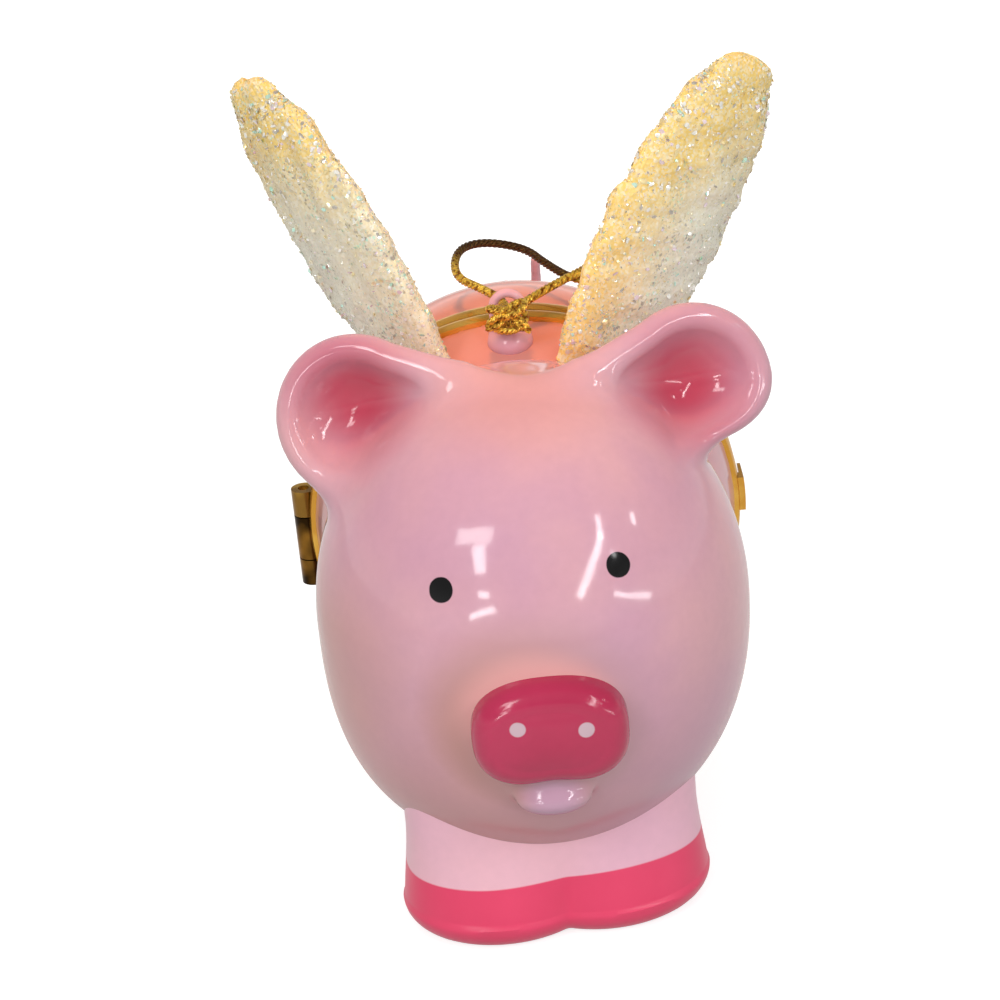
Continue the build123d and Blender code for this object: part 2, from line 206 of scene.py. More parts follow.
# %% [markdown]
# ## Floor and light
# The ornament stands on plain white. A white floor that only scatters light comes out grey, so for the
# camera, and for reflections, part of its white is given off by the floor itself; the shadow stays. The
# light is a soft room, broad lamps for the shading that the glaze doesn't mirror, one warm spot on the
# back, and narrow lamps that draw the bright shapes seen in the glaze: a window at the left, a long strip
# at the right, and sparks.

# %% Floor
WHITE = (1, 1, 1, 1)
FLOOR_GREY = (0.4, 0.4, 0.4, 1)
FLOOR_HALF = 2.0
FLOOR_GLOW = 0.78
MIRRORED_GLOW = 0.4
# Metres from the middle between which the floor's own light rises to full white
GLOW_NEAR = 0.08
GLOW_FAR = 0.4


def mirrored_ray(tree, rays):
    """1 for a ray that metal, glaze or glass sends on, and 0 for any other."""
    return calculate(tree, "MAXIMUM", rays["Is Glossy Ray"], rays["Is Transmission Ray"])


floor_mesh = bpy.data.meshes.new("floor")
floor_corners = FLOOR_HALF * np.array([(-1, -1, 0), (1, -1, 0), (1, 1, 0), (-1, 1, 0)])
floor_mesh.from_pydata(floor_corners.tolist(), [], [(0, 1, 2, 3)])
floor = bpy.data.objects.new("floor", floor_mesh)
bpy.context.collection.objects.link(floor)
floor_material, tree, shader = new_material("floor white", Roughness=0.9)
rays = add_node(tree, "ShaderNodeLightPath").outputs
away = add_node(tree, "ShaderNodeVectorMath", {0: place_of(tree)}, operation="LENGTH").outputs["Value"]
level = remap(tree, away, GLOW_NEAR, GLOW_FAR, FLOOR_GLOW, 1.0)
seen = calculate(tree, "MULTIPLY", rays["Is Camera Ray"], level)
mirrored = calculate(tree, "MULTIPLY", mirrored_ray(tree, rays), MIRRORED_GLOW)
glow = calculate(tree, "MAXIMUM", seen, mirrored)
fill(tree, shader, {"Base Color": FLOOR_GREY, "Emission Color": WHITE, "Emission Strength": glow})
floor_mesh.materials.append(floor_material)
print("floor", 2 * FLOOR_HALF, "m wide")

# %% Room
ROOM_LEVEL = 0.3
# Rise of a mirrored ray below which it starts to see white
LOW_SKY = 0.3

world = bpy.data.worlds.new("room")
bpy.context.scene.world = world
world.use_nodes = True
tree = world.node_tree
rays = add_node(tree, "ShaderNodeLightPath").outputs
looking = add_node(tree, "ShaderNodeTexCoord").outputs["Generated"]
low = remap(tree, axes_of(tree, looking)["Z"], LOW_SKY, 0.0)
mirrored = calculate(tree, "MULTIPLY", mirrored_ray(tree, rays), low)
white = calculate(tree, "MAXIMUM", rays["Is Camera Ray"], mirrored)
fill(tree, tree.nodes["Background"], {"Color": WHITE, "Strength": remap(tree, white, 0.0, 1.0, ROOM_LEVEL)})
print("room light", ROOM_LEVEL)

# %% Lamps
LAMP_DISTANCE = 450.0
PLAIN = (1, 1, 1)
WARM = (1.0, 0.4, 0.06)
PALE_WARM = (1.0, 0.86, 0.68)
PALE_COOL = (0.84, 0.86, 1.0)
# Name, azimuth and elevation of both ends in degrees, width, watts, colour, and whether reflections show it
LAMPS = [
    ("broad soft lamp", (-50, 36), (30, 40), 260, 0.58, PLAIN, False),
    ("lamp behind", (125, 36), (235, 36), 240, 0.4, PALE_WARM, False),
    ("low lamp behind", (140, 12), (220, 12), 200, 0.5, PLAIN, False),
    ("warm fill", (-125, 6), (-85, 6), 200, 0.09, PALE_WARM, False),
    ("cool fill", (85, 6), (125, 6), 200, 0.08, PALE_COOL, False),
    ("window", (-50, 40), (-26, 44), 60, 0.2, PLAIN, True),
    ("window foot", (-33, 39), (-29, 27), 48, 0.18, PLAIN, True),
    ("eye spark", (48, 27), (50, 24), 14, 0.014, PLAIN, True),
    ("left spark", (-30, 19), (-23, 19), 22, 0.055, PLAIN, True),
    ("left streak", (-33, 9), (-20, 13), 20, 0.1, PLAIN, True),
    ("right strip", (54, 43), (47, 33), 24, 0.1, PLAIN, True),
    ("right strip foot", (48, 35), (24, 14), 26, 0.28, PLAIN, True),
    ("right streak", (42, 11), (62, 3), 14, 0.1, PLAIN, True),
    ("right spark", (74, 33), (71, 29), 16, 0.03, PLAIN, True),
]
SPOT_PLACE = (0, 27, 420)
SPOT_WATTS = 4.4
SPOT_CONE = np.radians(11)
SPOT_SOFTNESS = 0.03


def direction(azimuth, elevation):
    """The unit vector that far round from the front, positive to the right, and that far up, in degrees."""
    round_angle = np.radians(azimuth)
    up_angle = np.radians(elevation)
    level_part = np.cos(up_angle)
    return Vector((level_part * np.sin(round_angle), -level_part * np.cos(round_angle), np.sin(up_angle)))


def new_lamp(name, kind, watts, colour, in_reflections):
    """A lamp of one kind, in the scene but not yet in its place."""
    data = bpy.data.lights.new(name, kind)
    data.energy = watts
    data.color = colour
    lamp = bpy.data.objects.new(name, data)
    bpy.context.collection.objects.link(lamp)
    lamp.visible_glossy = in_reflections
    return lamp, data


def add_lamp(name, start, end, width, watts, colour, in_reflections):
    """A rectangle of light between two directions from the head, turned to face it."""
    first = direction(*start) * LAMP_DISTANCE * MM
    last = direction(*end) * LAMP_DISTANCE * MM
    along = (last - first).normalized()
    facing = ((first + last) / 2).normalized()
    across = facing.cross(along).normalized()
    lamp, data = new_lamp(name, "AREA", watts, colour, in_reflections)
    data.shape = "RECTANGLE"
    data.size = (last - first).length
    data.size_y = width * MM
    turn = Matrix((along, across, facing)).transposed().to_4x4()
    lamp.matrix_world = Matrix.Translation(head_centre + (first + last) / 2) @ turn
    lamp.visible_camera = False


def add_warm_spot():
    """A warm spot above the back, which tints the shoulders and the wings' inner sides."""
    lamp, data = new_lamp("warm spot above", "SPOT", SPOT_WATTS, WARM, False)
    data.spot_size = SPOT_CONE
    data.spot_blend = 1.0
    data.shadow_soft_size = SPOT_SOFTNESS
    lamp.location = to_row(SPOT_PLACE)


for lamp_values in LAMPS:
    add_lamp(*lamp_values)
add_warm_spot()

# %% [markdown]
# ## Turning arrays into pieces
# Most pieces are stacks of rings, such as a tube's or a leg's. A stack of rings becomes a closed skin
# when neighbouring rings are joined by quads and the two end rings are drawn in to a point. Faces made
# from numbers can come out inside out, so the enclosed volume is measured, and all faces are turned round
# if it is negative.

# %% Mesh helpers
SHARP_ANGLE = np.radians(50)


def unit(vectors):
    """Vectors cut to length one."""
    return vectors / np.linalg.norm(vectors, axis=-1, keepdims=True)


def ease(value, low, high):
    """0 below low, 1 above high, and a smooth S between them."""
    share = np.clip((value - low) / (high - low), 0, 1)
    return share * share * (3 - 2 * share)


def outward(points, blocks):
    """Turns every face round if the volume they enclose, summed from triangles, is negative."""
    volume = 0.0
    for block in blocks:
        for corner in range(2, block.shape[1]):
            first, second, third = (points[block[:, place]] for place in (0, corner - 1, corner))
            volume += np.einsum("ij,ij->", first, np.cross(second, third))
    if volume < 0:
        blocks = [block[:, ::-1] for block in blocks]
    return blocks


def skin(rings):
    """Joins rings, an array of (ring, point, 3), by quads, and closes both ends with fans of triangles."""
    count, around = rings.shape[:2]
    inner = rings[1:-1].reshape(-1, 3)
    points = np.vstack([inner, rings[0].mean(axis=0), rings[-1].mean(axis=0)])
    start = around * np.arange(count - 3)[:, None]
    here = np.arange(around)
    there = (here + 1) % around
    quads = np.stack([start + here, start + there, start + around + there, start + around + here], axis=-1)
    last = around * (count - 3)
    first_fan = np.column_stack([np.full(around, len(inner)), there, here])
    last_fan = np.column_stack([np.full(around, len(inner) + 1), last + here, last + there])
    return points, outward(points, [quads.reshape(-1, 4), np.vstack([first_fan, last_fan])])


def together(*parts):
    """Puts several (points, blocks) one after the other as one."""
    points = []
    blocks = []
    used = 0
    for part_points, part_blocks in parts:
        points.append(part_points)
        blocks.extend(block + used for block in part_blocks)
        used += len(part_points)
    return np.vstack(points), blocks


def make_piece(name, part, body, material, replaced=(), normals=None):
    """Makes a smooth mesh piece from (points, blocks), riding on a body and standing for CAD nodes."""
    points, blocks = part
    mesh = bpy.data.meshes.new(name)
    faces = [face for block in blocks for face in block.tolist()]
    mesh.from_pydata(to_row(points).tolist(), [], faces)
    mesh.shade_smooth()
    if normals is None:
        mesh.set_sharp_from_angle(angle=SHARP_ANGLE)
    else:
        mesh.normals_split_custom_set_from_vertices(normals.tolist())
    mesh.materials.append(material)
    piece = bpy.data.objects.new(name, mesh)
    bpy.context.collection.objects.link(piece)
    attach(piece, body)
    if replaced:
        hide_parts(*replaced)
    triangles = sum(len(block) * (block.shape[1] - 2) for block in blocks)
    print(name, "points", len(points), "triangles", triangles)
    return piece


def store(piece, name, values):
    """Keeps one number per point on the mesh, for its material to read."""
    attribute = piece.data.attributes.new(name, "FLOAT", "POINT")
    attribute.data.foreach_set("value", np.asarray(values, dtype=np.float32))


# %% [markdown]
# ## The hanging cord
# A thin gold cord runs from a knot through the eyelet, round two loose loops on the back, and returns to
# the knot. Its line is one smooth NURBS spline whose control points are close to the route of the CAD
# tube. The real cord is metal thread laid up from strands, which could be a bump pattern on a tube, but
# the strands are what glitters, so each of four is a real tube that winds round the spline.

# %% The cord's spline
CORD_STEP = 0.16
SPLINE_STEPS = 24
EYELET_RADIUS = 0.7
EYELET_BEND = 1.4
# Control points, measured from the middle of the eyelet's arch
CORD_ROUTE = [
    (0.0, -2.4, -0.3),
    (-0.1, 1.3, 0.05),
    (-2.5, 4.5, 0.6),
    (-5.8, 8.6, 0.9),
    (-5.4, 14.4, 2.1),
    (-2.3, 17.0, 2.0),
    (2.6, 15.7, 1.2),
    (4.8, 11.6, 0.5),
    (8.0, 8.0, -0.6),
    (13.2, 8.1, -1.3),
    (17.4, 10.9, -1.1),
    (20.9, 15.3, -0.6),
    (21.2, 20.6, -0.2),
    (17.6, 23.6, 0.3),
    (13.4, 22.3, 0.8),
    (12.0, 17.2, 1.2),
    (10.9, 12.7, 1.2),
    (9.9, 8.3, 0.9),
    (6.6, 5.5, 0.6),
    (3.2, 3.0, -0.1),
    (0.4, 1.3, -1.0),
    (-0.5, -2.3, -1.5),
]

eyelet_low, eyelet_high = (np.array(corner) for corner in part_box("hanging_eyelet"))
eyelet_middle = ((eyelet_low + eyelet_high) / 2 - HEAD_AXIS) / MM
EYELET_Y = eyelet_middle[1]
EYELET_Z = eyelet_high[2] / MM - EYELET_RADIUS - EYELET_BEND


def spline_points(name, control):
    """The points of a smooth NURBS line inside its control points' hull, read back from Blender."""
    data = bpy.data.curves.new(name, "CURVE")
    data.dimensions = "3D"
    spline = data.splines.new("NURBS")
    spline.points.add(len(control) - 1)
    spline.points.foreach_set("co", np.column_stack([control, np.ones(len(control))]).ravel())
    spline.order_u = 3
    spline.use_endpoint_u = True
    spline.resolution_u = SPLINE_STEPS
    holder = bpy.data.objects.new(name, data)
    bpy.context.collection.objects.link(holder)
    line = bpy.data.meshes.new_from_object(holder)
    points = np.empty(3 * len(line.vertices))
    line.vertices.foreach_get("co", points)
    bpy.data.objects.remove(holder)
    bpy.data.curves.remove(data)
    bpy.data.meshes.remove(line)
    return points.reshape(-1, 3)


def even_steps(path, step):
    """The same line with its points an even step apart, and the length run at each."""
    run = np.concatenate([[0], np.cumsum(np.linalg.norm(np.diff(path, axis=0), axis=1))])
    places = np.linspace(0, run[-1], int(run[-1] / step) + 1)
    return np.column_stack([np.interp(places, run, path[:, axis]) for axis in range(3)]), places


cord_control = np.array(CORD_ROUTE) + (0, EYELET_Y, EYELET_Z)
cord_path, cord_run = even_steps(spline_points("cord_route", cord_control), CORD_STEP)
print("cord length", round(cord_run[-1], 1))

# %% Strands laid round a line
STRANDS = 4
STRAND_TURN = 2.4
STRAND_RADIUS = 0.22
STRAND_OFFSET = 0.29
STRAND_SIDES = 9


def cross_frame(path, reference):
    """Two unit vectors square to the line at each point, the first also square to a reference direction."""
    tangent = unit(np.gradient(path, axis=0))
    side = unit(np.cross(tangent, reference))
    return side, np.cross(side, tangent)


def tube(path, radius, sides, reference):
    """A round tube: circles of one radius, square to the line."""
    side, rise = cross_frame(path, reference)
    angle = np.linspace(0, 2 * np.pi, sides, endpoint=False)[None, :, None]
    rings = path[:, None] + radius * (np.cos(angle) * side[:, None] + np.sin(angle) * rise[:, None])
    first = np.repeat(path[:1, None], sides, axis=1)
    last = np.repeat(path[-1:, None], sides, axis=1)
    return skin(np.concatenate([first, rings, last]))


def strand_path(path, run, number, reference, size):
    """A helix about a line: the offset turns once round in each STRAND_TURN of length."""
    side, rise = cross_frame(path, reference)
    angle = (2 * np.pi * (run / STRAND_TURN / size + number / STRANDS))[:, None]
    return path + size * STRAND_OFFSET * (np.cos(angle) * side + np.sin(angle) * rise)


def lay_up(path, run, reference, size=1.0):
    """A cord of several strands about one line, as one part, drawn thinner by a size below 1."""
    lines = [strand_path(path, run, number, reference, size) for number in range(STRANDS)]
    return together(*[tube(line, size * STRAND_RADIUS, STRAND_SIDES, reference) for line in lines])


print("cord", round(2 * (STRAND_OFFSET + STRAND_RADIUS), 2), "mm thick over", STRANDS, "strands")

# %% [markdown]
# ## Gold thread
# The thread is plastic film with a metal coat, wound on a core, so it is metal to the eye, with fine
# ridges on each strand and a darker tone down in the grooves. The ridges are a fine noise in Object
# coordinates, and the grooves come by themselves from the strands. Along one stretch of the cord, painted
# shade darkens its colour to a dull brown, as a number stored on the mesh says.

# %% Gold thread material
THREAD_DARK = rgb(136, 78, 12)
THREAD_BRIGHT = rgb(255, 218, 92)
# Dull brown of the painted shade on one stretch of the cord
THREAD_SHADED = rgb(70, 42, 26)
FLECK_SCALE = 2300.0
FLECK_EDGE = (0.36, 0.58)
THREAD_ROUGHNESS = (0.42, 0.2)
RIDGE_SCALE = 5200.0
RIDGE_STRENGTH = 0.9
RIDGE_DEPTH = 0.00012
UP = np.array([0.0, 0.0, 1.0])
# Millimetres along the cord between which the painted shade sets in and ends
CORD_SHADE_START = (13.0, 19.0)
CORD_SHADE_END = (34.0, 38.0)
MOST_CORD_SHADE = 0.95


def gold_thread():
    """Metal thread: noise breaks its colour and gloss, finer noise is its ridges, and painted shade darkens
    it.
    """
    material, tree, shader = new_material("gold thread", Metallic=0.75)
    place = place_of(tree)
    patch = noise(tree, place, FLECK_SCALE, 2.0)
    tone = mix(tree, remap(tree, patch, *FLECK_EDGE), THREAD_DARK, THREAD_BRIGHT)
    tone = mix(tree, stored(tree, "cord_shade"), tone, THREAD_SHADED)
    fill(tree, shader, {"Base Color": tone, "Roughness": remap(tree, patch, 0.0, 1.0, *THREAD_ROUGHNESS)})
    raise_bump(tree, shader, noise(tree, place, RIDGE_SCALE, 1.0), RIDGE_STRENGTH, RIDGE_DEPTH)
    return material


gold = gold_thread()
cord = make_piece("hanging_cord_strands", lay_up(cord_path, cord_run, UP), FRONT_HALF, gold,
                  ["hanging_cord"])
# Painted shade on one stretch of the cord
cord_shade = MOST_CORD_SHADE * ease(cord_run, *CORD_SHADE_START) * (1 - ease(cord_run, *CORD_SHADE_END))
along_strand = np.concatenate([np.repeat(cord_shade, STRAND_SIDES), cord_shade[[0, -1]]])
store(cord, "cord_shade", np.tile(along_strand, STRANDS))

# %% [markdown]
# ## The knot
# The two ends are tied together in front of the eyelet in a tight, untidy knot. A Lissajous knot, one
# closed curve of three cosines with 3, 5 and 2 turns, winds over and under itself inside a box, so it
# looks tied without being planned crossing by crossing. It gets the cord's strands, drawn thinner because
# they are pulled tight, and two short cut ends stick out of it.

# %% Knot
KNOT_PLACE = np.array([-0.1, EYELET_Y - 2.7, EYELET_Z - 0.25])
KNOT_REACH = np.array([2.0, 1.0, 1.35])
KNOT_SIZE = 0.82
KNOT_STEP = 0.12
KNOT_POINTS = 600
ACROSS = np.array([0.0, 1.0, 0.0])
CUT_END = np.array([(0.6, 0.0, -0.4), (1.6, -0.9, -0.9), (2.4, -1.2, -1.0)])
CUT_END_DROOP = np.array([(0.0, 0.0, 0.0), (0.0, 0.0, 0.0), (0.0, 0.0, -0.4)])


def tied_curve(count):
    """cos(3t + 0.7) across, cos 5t deep and cos(2t + 0.2) up, each times the knot's reach that way."""
    t = np.linspace(0, 2 * np.pi, count)
    waves = np.column_stack([np.cos(3 * t + 0.7), np.cos(5 * t), np.cos(2 * t + 0.2)])
    return KNOT_PLACE + KNOT_REACH * waves


knot_lines = [even_steps(tied_curve(KNOT_POINTS), KNOT_STEP)]
for side in (-1, 1):
    control = KNOT_PLACE + CUT_END * (side, 1, 1) + CUT_END_DROOP * side
    knot_lines.append(even_steps(spline_points("cut_end", control), CORD_STEP))
knot_part = together(*[lay_up(path, run, ACROSS, KNOT_SIZE) for path, run in knot_lines])
knot = make_piece("cord_knot_wraps", knot_part, FRONT_HALF, gold, ["cord_knot"])

# %% [markdown]
# ## Distances instead of outlines
# Wet clay joints are soft: an ear swells out of the head with no edge. A grid of points on the head and
# another on the ear would meet in a crisp line, so the front shell is made another way. For any point in
# space a formula gives about how far it is from the head, the body, an ear or the lip, negative inside.
# Two distances can be joined smoothly by rounding off the smaller of them, which is exactly a fillet. The
# skin is where the joined distance is zero.

# %% Distance formulas
HEAD_RADIUS = 24.0
HEAD_HALF_HEIGHT = 27.0
CROWN_POWER = 2.02
JAW_POWER = 2.42
JAW_LEAN = -0.8
BODY_RADIUS = 25.2
BODY_HALF_LENGTH = 30.0
BODY_Y = 26.0
BODY_Z = HEAD_Z + 0.7
WALL = 3.0
TINY = 1e-6


def egg_distance(points, radius, half_height):
    """The head: (r/radius)^n + (z/half height)^n = 1 turned about Z; n is larger below, where it leans."""
    lean = JAW_LEAN * ease(HEAD_Z - points[..., 2], 0, half_height)
    around = np.hypot(points[..., 0] - lean, points[..., 1]) / radius + TINY
    height = np.abs(points[..., 2] - HEAD_Z) / half_height + TINY
    power = np.where(points[..., 2] > HEAD_Z, CROWN_POWER, JAW_POWER)
    level = (around**power + height**power) ** (1 / power)
    slope = np.hypot(around ** (power - 1) / radius, height ** (power - 1) / half_height)
    return (level - 1) * level ** (power - 1) / slope


def ball_distance(points, centre, radii):
    """A ball pressed to three radii: k (k - 1) / m, where k and m are lengths of p/radii and p/radii^2."""
    local = (points - np.asarray(centre)) / np.asarray(radii)
    near = np.linalg.norm(local, axis=-1) + TINY
    slope = np.linalg.norm(local / np.asarray(radii), axis=-1) + TINY
    return near * (near - 1) / slope


def body_distance(points, inset):
    """The body: a ball drawn out along Y, made smaller all round by an inset."""
    radii = (BODY_RADIUS - inset, BODY_HALF_LENGTH - inset, BODY_RADIUS - inset)
    return ball_distance(points, (0, BODY_Y, BODY_Z), radii)


def body_radius(y):
    """Radius of the body at a place along it."""
    return BODY_RADIUS * np.sqrt(1 - ((y - BODY_Y) / BODY_HALF_LENGTH) ** 2)


def blend(first, second, soft):
    """The smaller of two distances, rounded off over a width where they are nearly equal."""
    overlap = np.maximum(soft - np.abs(first - second), 0) / soft
    return np.minimum(first, second) - overlap * overlap * soft / 4


face_front = np.array([0.0, -HEAD_RADIUS, HEAD_Z])
print("distance at the head's front", egg_distance(face_front, HEAD_RADIUS, HEAD_HALF_HEIGHT).round(4))

# %% [markdown]
# ## From distances to a mesh
# The distance is sampled on a grid of small cells. Each cell that the surface crosses gets one point, and
# each grid edge that it crosses gets one quad between the four cells round it: these are surface nets.
# The points are then evened out with their neighbours and pulled onto the exact surface along the
# distance's slope, which is also the exact normal that a mirror-like glaze needs.

# %% Surface nets
SLOPE_STEP = 0.02
LEAST_SLOPE = 0.1


def slope_of(distance, points):
    """The direction in which the distance grows fastest, from small steps along each axis."""
    steps = SLOPE_STEP * np.eye(3)
    columns = [distance(points + step) - distance(points - step) for step in steps]
    return np.stack(columns, axis=-1) / (2 * SLOPE_STEP)


def pull_on(distance, points, times):
    """Moves points along the slope by their distance, a few times over."""
    for _ in range(times):
        slope = slope_of(distance, points)
        size = np.maximum(np.einsum("ij,ij->i", slope, slope), LEAST_SLOPE)
        points = points - (distance(points) / size)[:, None] * slope
    return points


def even_out(points, quads):
    """Moves each point halfway to the mean of its neighbours along the quads' edges."""
    ends = np.vstack([quads[:, (corner, (corner + 1) % 4)] for corner in range(4)])
    total = np.zeros_like(points)
    np.add.at(total, ends[:, 0], points[ends[:, 1]])
    count = np.bincount(ends[:, 0], minlength=len(points))
    return (points + total / count[:, None]) / 2


def surface_nets(distance, low, high, cell):
    """One point in each crossed cell and one quad for each crossed edge, then pulled onto the surface."""
    axes = [np.arange(start, end, cell) for start, end in zip(low, high)]
    lattice = np.stack(np.meshgrid(*axes, indexing="ij"), axis=-1)
    inside = (distance(lattice) < 0).astype(np.int8)
    pairs = inside[1:] + inside[:-1]
    fours = pairs[:, 1:] + pairs[:, :-1]
    corners = fours[:, :, 1:] + fours[:, :, :-1]
    crossed = (corners > 0) & (corners < 8)
    number = np.full(crossed.shape, -1)
    number[crossed] = np.arange(np.count_nonzero(crossed))
    points = lattice[:-1, :-1, :-1][crossed] + cell / 2
    quads = []
    steps = np.eye(3, dtype=int)
    for axis in range(3):
        edge = np.argwhere(np.diff(inside, axis=axis) != 0)
        right, up = steps[(axis + 1) % 3], steps[(axis + 2) % 3]
        round_edge = [edge - right - up, edge - up, edge, edge - right]
        quad = np.stack([number[tuple(cells.T)] for cells in round_edge], axis=1)
        entering = inside[tuple(edge.T)] == 0
        quad[entering] = quad[entering][:, ::-1]
        quads.append(quad)
    quads = np.vstack(quads)
    points = pull_on(distance, points, 3)
    for _ in range(3):
        points = pull_on(distance, even_out(points, quads), 1)
    points = pull_on(distance, points, 2)
    return (points, [quads]), unit(slope_of(distance, points))


# %% [markdown]
# ## The front shell
# Head, shoulders, ears and lower lip are one glazed surface, hollow inside and open at the back where a
# gilt rim covers the edge. An ear is a part of a thick ball wall, like a cup with a round rim, and blends
# widely into the head. The muzzle is a low swelling under the snout. Under the rim the wall steps
# inwards, so that the metal's edge draws the line that is seen.

# %% Ears
EAR_RADIUS = 7.45
EAR_SAG = 4.2
EAR_THICKNESS = 3.2
EAR_FACING = unit(np.array([0.24, -0.9, 0.3]))
EAR_INNER_FLARE = 0.023
EAR_FADE_START = 8.0
EAR_FADE = 0.3
EAR_LEAST_FLARE = -0.5
# Side, middle of the rim on that side, lean, outer flare, and the height that the flare starts from.
# The ears differ because they are pressed on by hand
EARS = [
    (-1, np.array([17.2, 1.5, HEAD_Z + 23.0]), np.radians(59.4), -0.014, 0.0),
    (1, np.array([19.1, 1.5, HEAD_Z + 23.2]), np.radians(54.7), -0.032, 7.5),
]
EAR_BALL = (EAR_RADIUS**2 + EAR_SAG**2) / (2 * EAR_SAG)


def ear_place(points, side, middle, lean, outer_flare, shoulder):
    """Places in an ear's own frame: ahead of its rim, up and across, and out from its middle line.

    That line runs from the ear's middle down into the head, so the rim is a half circle on two legs."""
    upward = np.array([np.sin(lean), 0, np.cos(lean)])
    upward = unit(upward - EAR_FACING * (upward @ EAR_FACING))
    local = points * (side, 1, 1) - middle
    up = local @ upward
    across = local @ np.cross(upward, EAR_FACING)
    inner = EAR_INNER_FLARE * np.maximum(-up, 0)
    outer = np.maximum(outer_flare * np.maximum(shoulder - up, 0), EAR_LEAST_FLARE)
    out = np.hypot(np.maximum(up, 0), across / (1 + np.where(across < 0, inner, outer)))
    return local @ EAR_FACING, up, across, out


def ear_distance(points, ear):
    """A cup: within half a thickness of a round wall behind the rim, or of the rim; it thins out below."""
    ahead, up, _, out = ear_place(points, *ear)
    from_wall = np.abs(np.hypot(ahead + EAR_SAG - EAR_BALL, out) - EAR_BALL)
    from_rim = np.hypot(ahead, out - EAR_RADIUS)
    in_cup = (EAR_BALL - EAR_SAG - ahead) * EAR_RADIUS > out * (EAR_BALL - EAR_SAG)
    half_thickness = EAR_THICKNESS / 2 - EAR_FADE * np.maximum(-up - EAR_FADE_START, 0)
    return np.where(in_cup, from_wall, from_rim) - half_thickness


print("radius of the ball that an ear is cut from", round(EAR_BALL, 2))

# %% Front shell
EAR_BLEND = 4.0
LIP_PLACE = (0.4, -23.8, HEAD_Z - 11.2)
LIP_RADII = (3.9, 2.2, 1.75)
LIP_BLEND = 1.5
MUZZLE_PLACE = (0.6, -14.0, HEAD_Z - 4.4)
MUZZLE_RADII = (11.2, 12.4, 9.8)
MUZZLE_BLEND = 2.0
NECK_BLEND = 0.6
FRONT_RIM_EDGE = 20.0
FRONT_END = 21.35
UNDER_RIM_STEP = 1.2
STEP_START = FRONT_RIM_EDGE + 0.2
STEP_END = FRONT_RIM_EDGE + 0.7
SKIRT_END = 18.4
SKIRT_BORE = 22.55
SHELL_LOW = (-31, -29, 4)
SHELL_HIGH = (31, 23, 72)
SHELL_CELL = 0.54


def solid_distance(points):
    """The outside of the front shell with nothing cut away."""
    head = egg_distance(points, HEAD_RADIUS, HEAD_HALF_HEIGHT)
    head = blend(head, ball_distance(points, MUZZLE_PLACE, MUZZLE_RADII), MUZZLE_BLEND)
    for ear in EARS:
        head = blend(head, ear_distance(points, ear), EAR_BLEND)
    head = blend(head, ball_distance(points, LIP_PLACE, LIP_RADII), LIP_BLEND)
    return blend(head, body_distance(points, 0), NECK_BLEND)


def hollow_distance(points):
    """The hollow: a smaller head and body, with room for the rim's skirt at the mouth."""
    hollow = egg_distance(points, HEAD_RADIUS - WALL, HEAD_HALF_HEIGHT - WALL)
    hollow = blend(hollow, body_distance(points, WALL), 2 * WALL)
    from_axis = np.hypot(points[..., 0], points[..., 2] - BODY_Z)
    return np.minimum(hollow, np.maximum(from_axis - SKIRT_BORE, SKIRT_END - points[..., 1]))


def front_distance(points):
    """The shell: inside the solid and out of the hollow, stepped in under the rim and cut at the mouth."""
    y = points[..., 1]
    outside = solid_distance(points) + UNDER_RIM_STEP * ease(y, STEP_START, STEP_END)
    return np.maximum(np.maximum(outside, -hollow_distance(points)), y - FRONT_END)


front_part, front_normals = surface_nets(front_distance, SHELL_LOW, SHELL_HIGH, SHELL_CELL)
print("front shell from", front_part[0].min(axis=0).round(1), "to", front_part[0].max(axis=0).round(1))

# %% [markdown]
# ## Glaze
# Pink glaze pools and thins as it melts, so its colour drifts between a pink and a mauve over a
# centimetre or two, with fine specks on top, and its surface has the faint waves of melted glass. That
# drift is shared by every glazed piece, so it is one node group; the pieces give it their own two
# colours. A painted dot is a second group: a mask that is 1 within a radius of a point in space.

# %% Shared glaze groups
COLOUR = "NodeSocketColor"
NUMBER = "NodeSocketFloat"
POOL_SCALE = 42.0
POOL_EDGE = (0.3, 0.7)
SPECK_SCALE = 900.0
SPECK = 0.08
WAVE_SCALE = 160.0
WAVE_DEPTH = 0.0001
GLAZE_ROUGHNESS = (0.06, 0.13)
BRUSH_WOBBLE = 0.00012


def make_pooling():
    """Large noise mixes two colours, small noise specks them and their gloss, a third gives low waves."""
    tree, given, put_out = new_group(
        "glaze pooling",
        [("Thin", COLOUR, WHITE), ("Pooled", COLOUR, WHITE), ("Speck", NUMBER, SPECK)],
        [("Colour", COLOUR), ("Height", NUMBER), ("Roughness", NUMBER)],
    )
    place = place_of(tree)
    drift = remap(tree, noise(tree, place, POOL_SCALE, 3.0), *POOL_EDGE)
    tone = mix(tree, drift, given.outputs["Thin"], given.outputs["Pooled"])
    grain = noise(tree, place, SPECK_SCALE, 3.0)
    spread = calculate(tree, "SUBTRACT", grain, 0.5)
    speck = calculate(tree, "MULTIPLY_ADD", spread, given.outputs["Speck"], 1.0)
    speckled = add_node(tree, "ShaderNodeVectorMath", {0: tone, "Scale": speck}, operation="SCALE")
    fill(tree, put_out, {
        "Colour": speckled.outputs["Vector"],
        "Height": noise(tree, place, WAVE_SCALE, 1.0),
        "Roughness": remap(tree, grain, 0.0, 1.0, *GLAZE_ROUGHNESS),
    })
    return tree


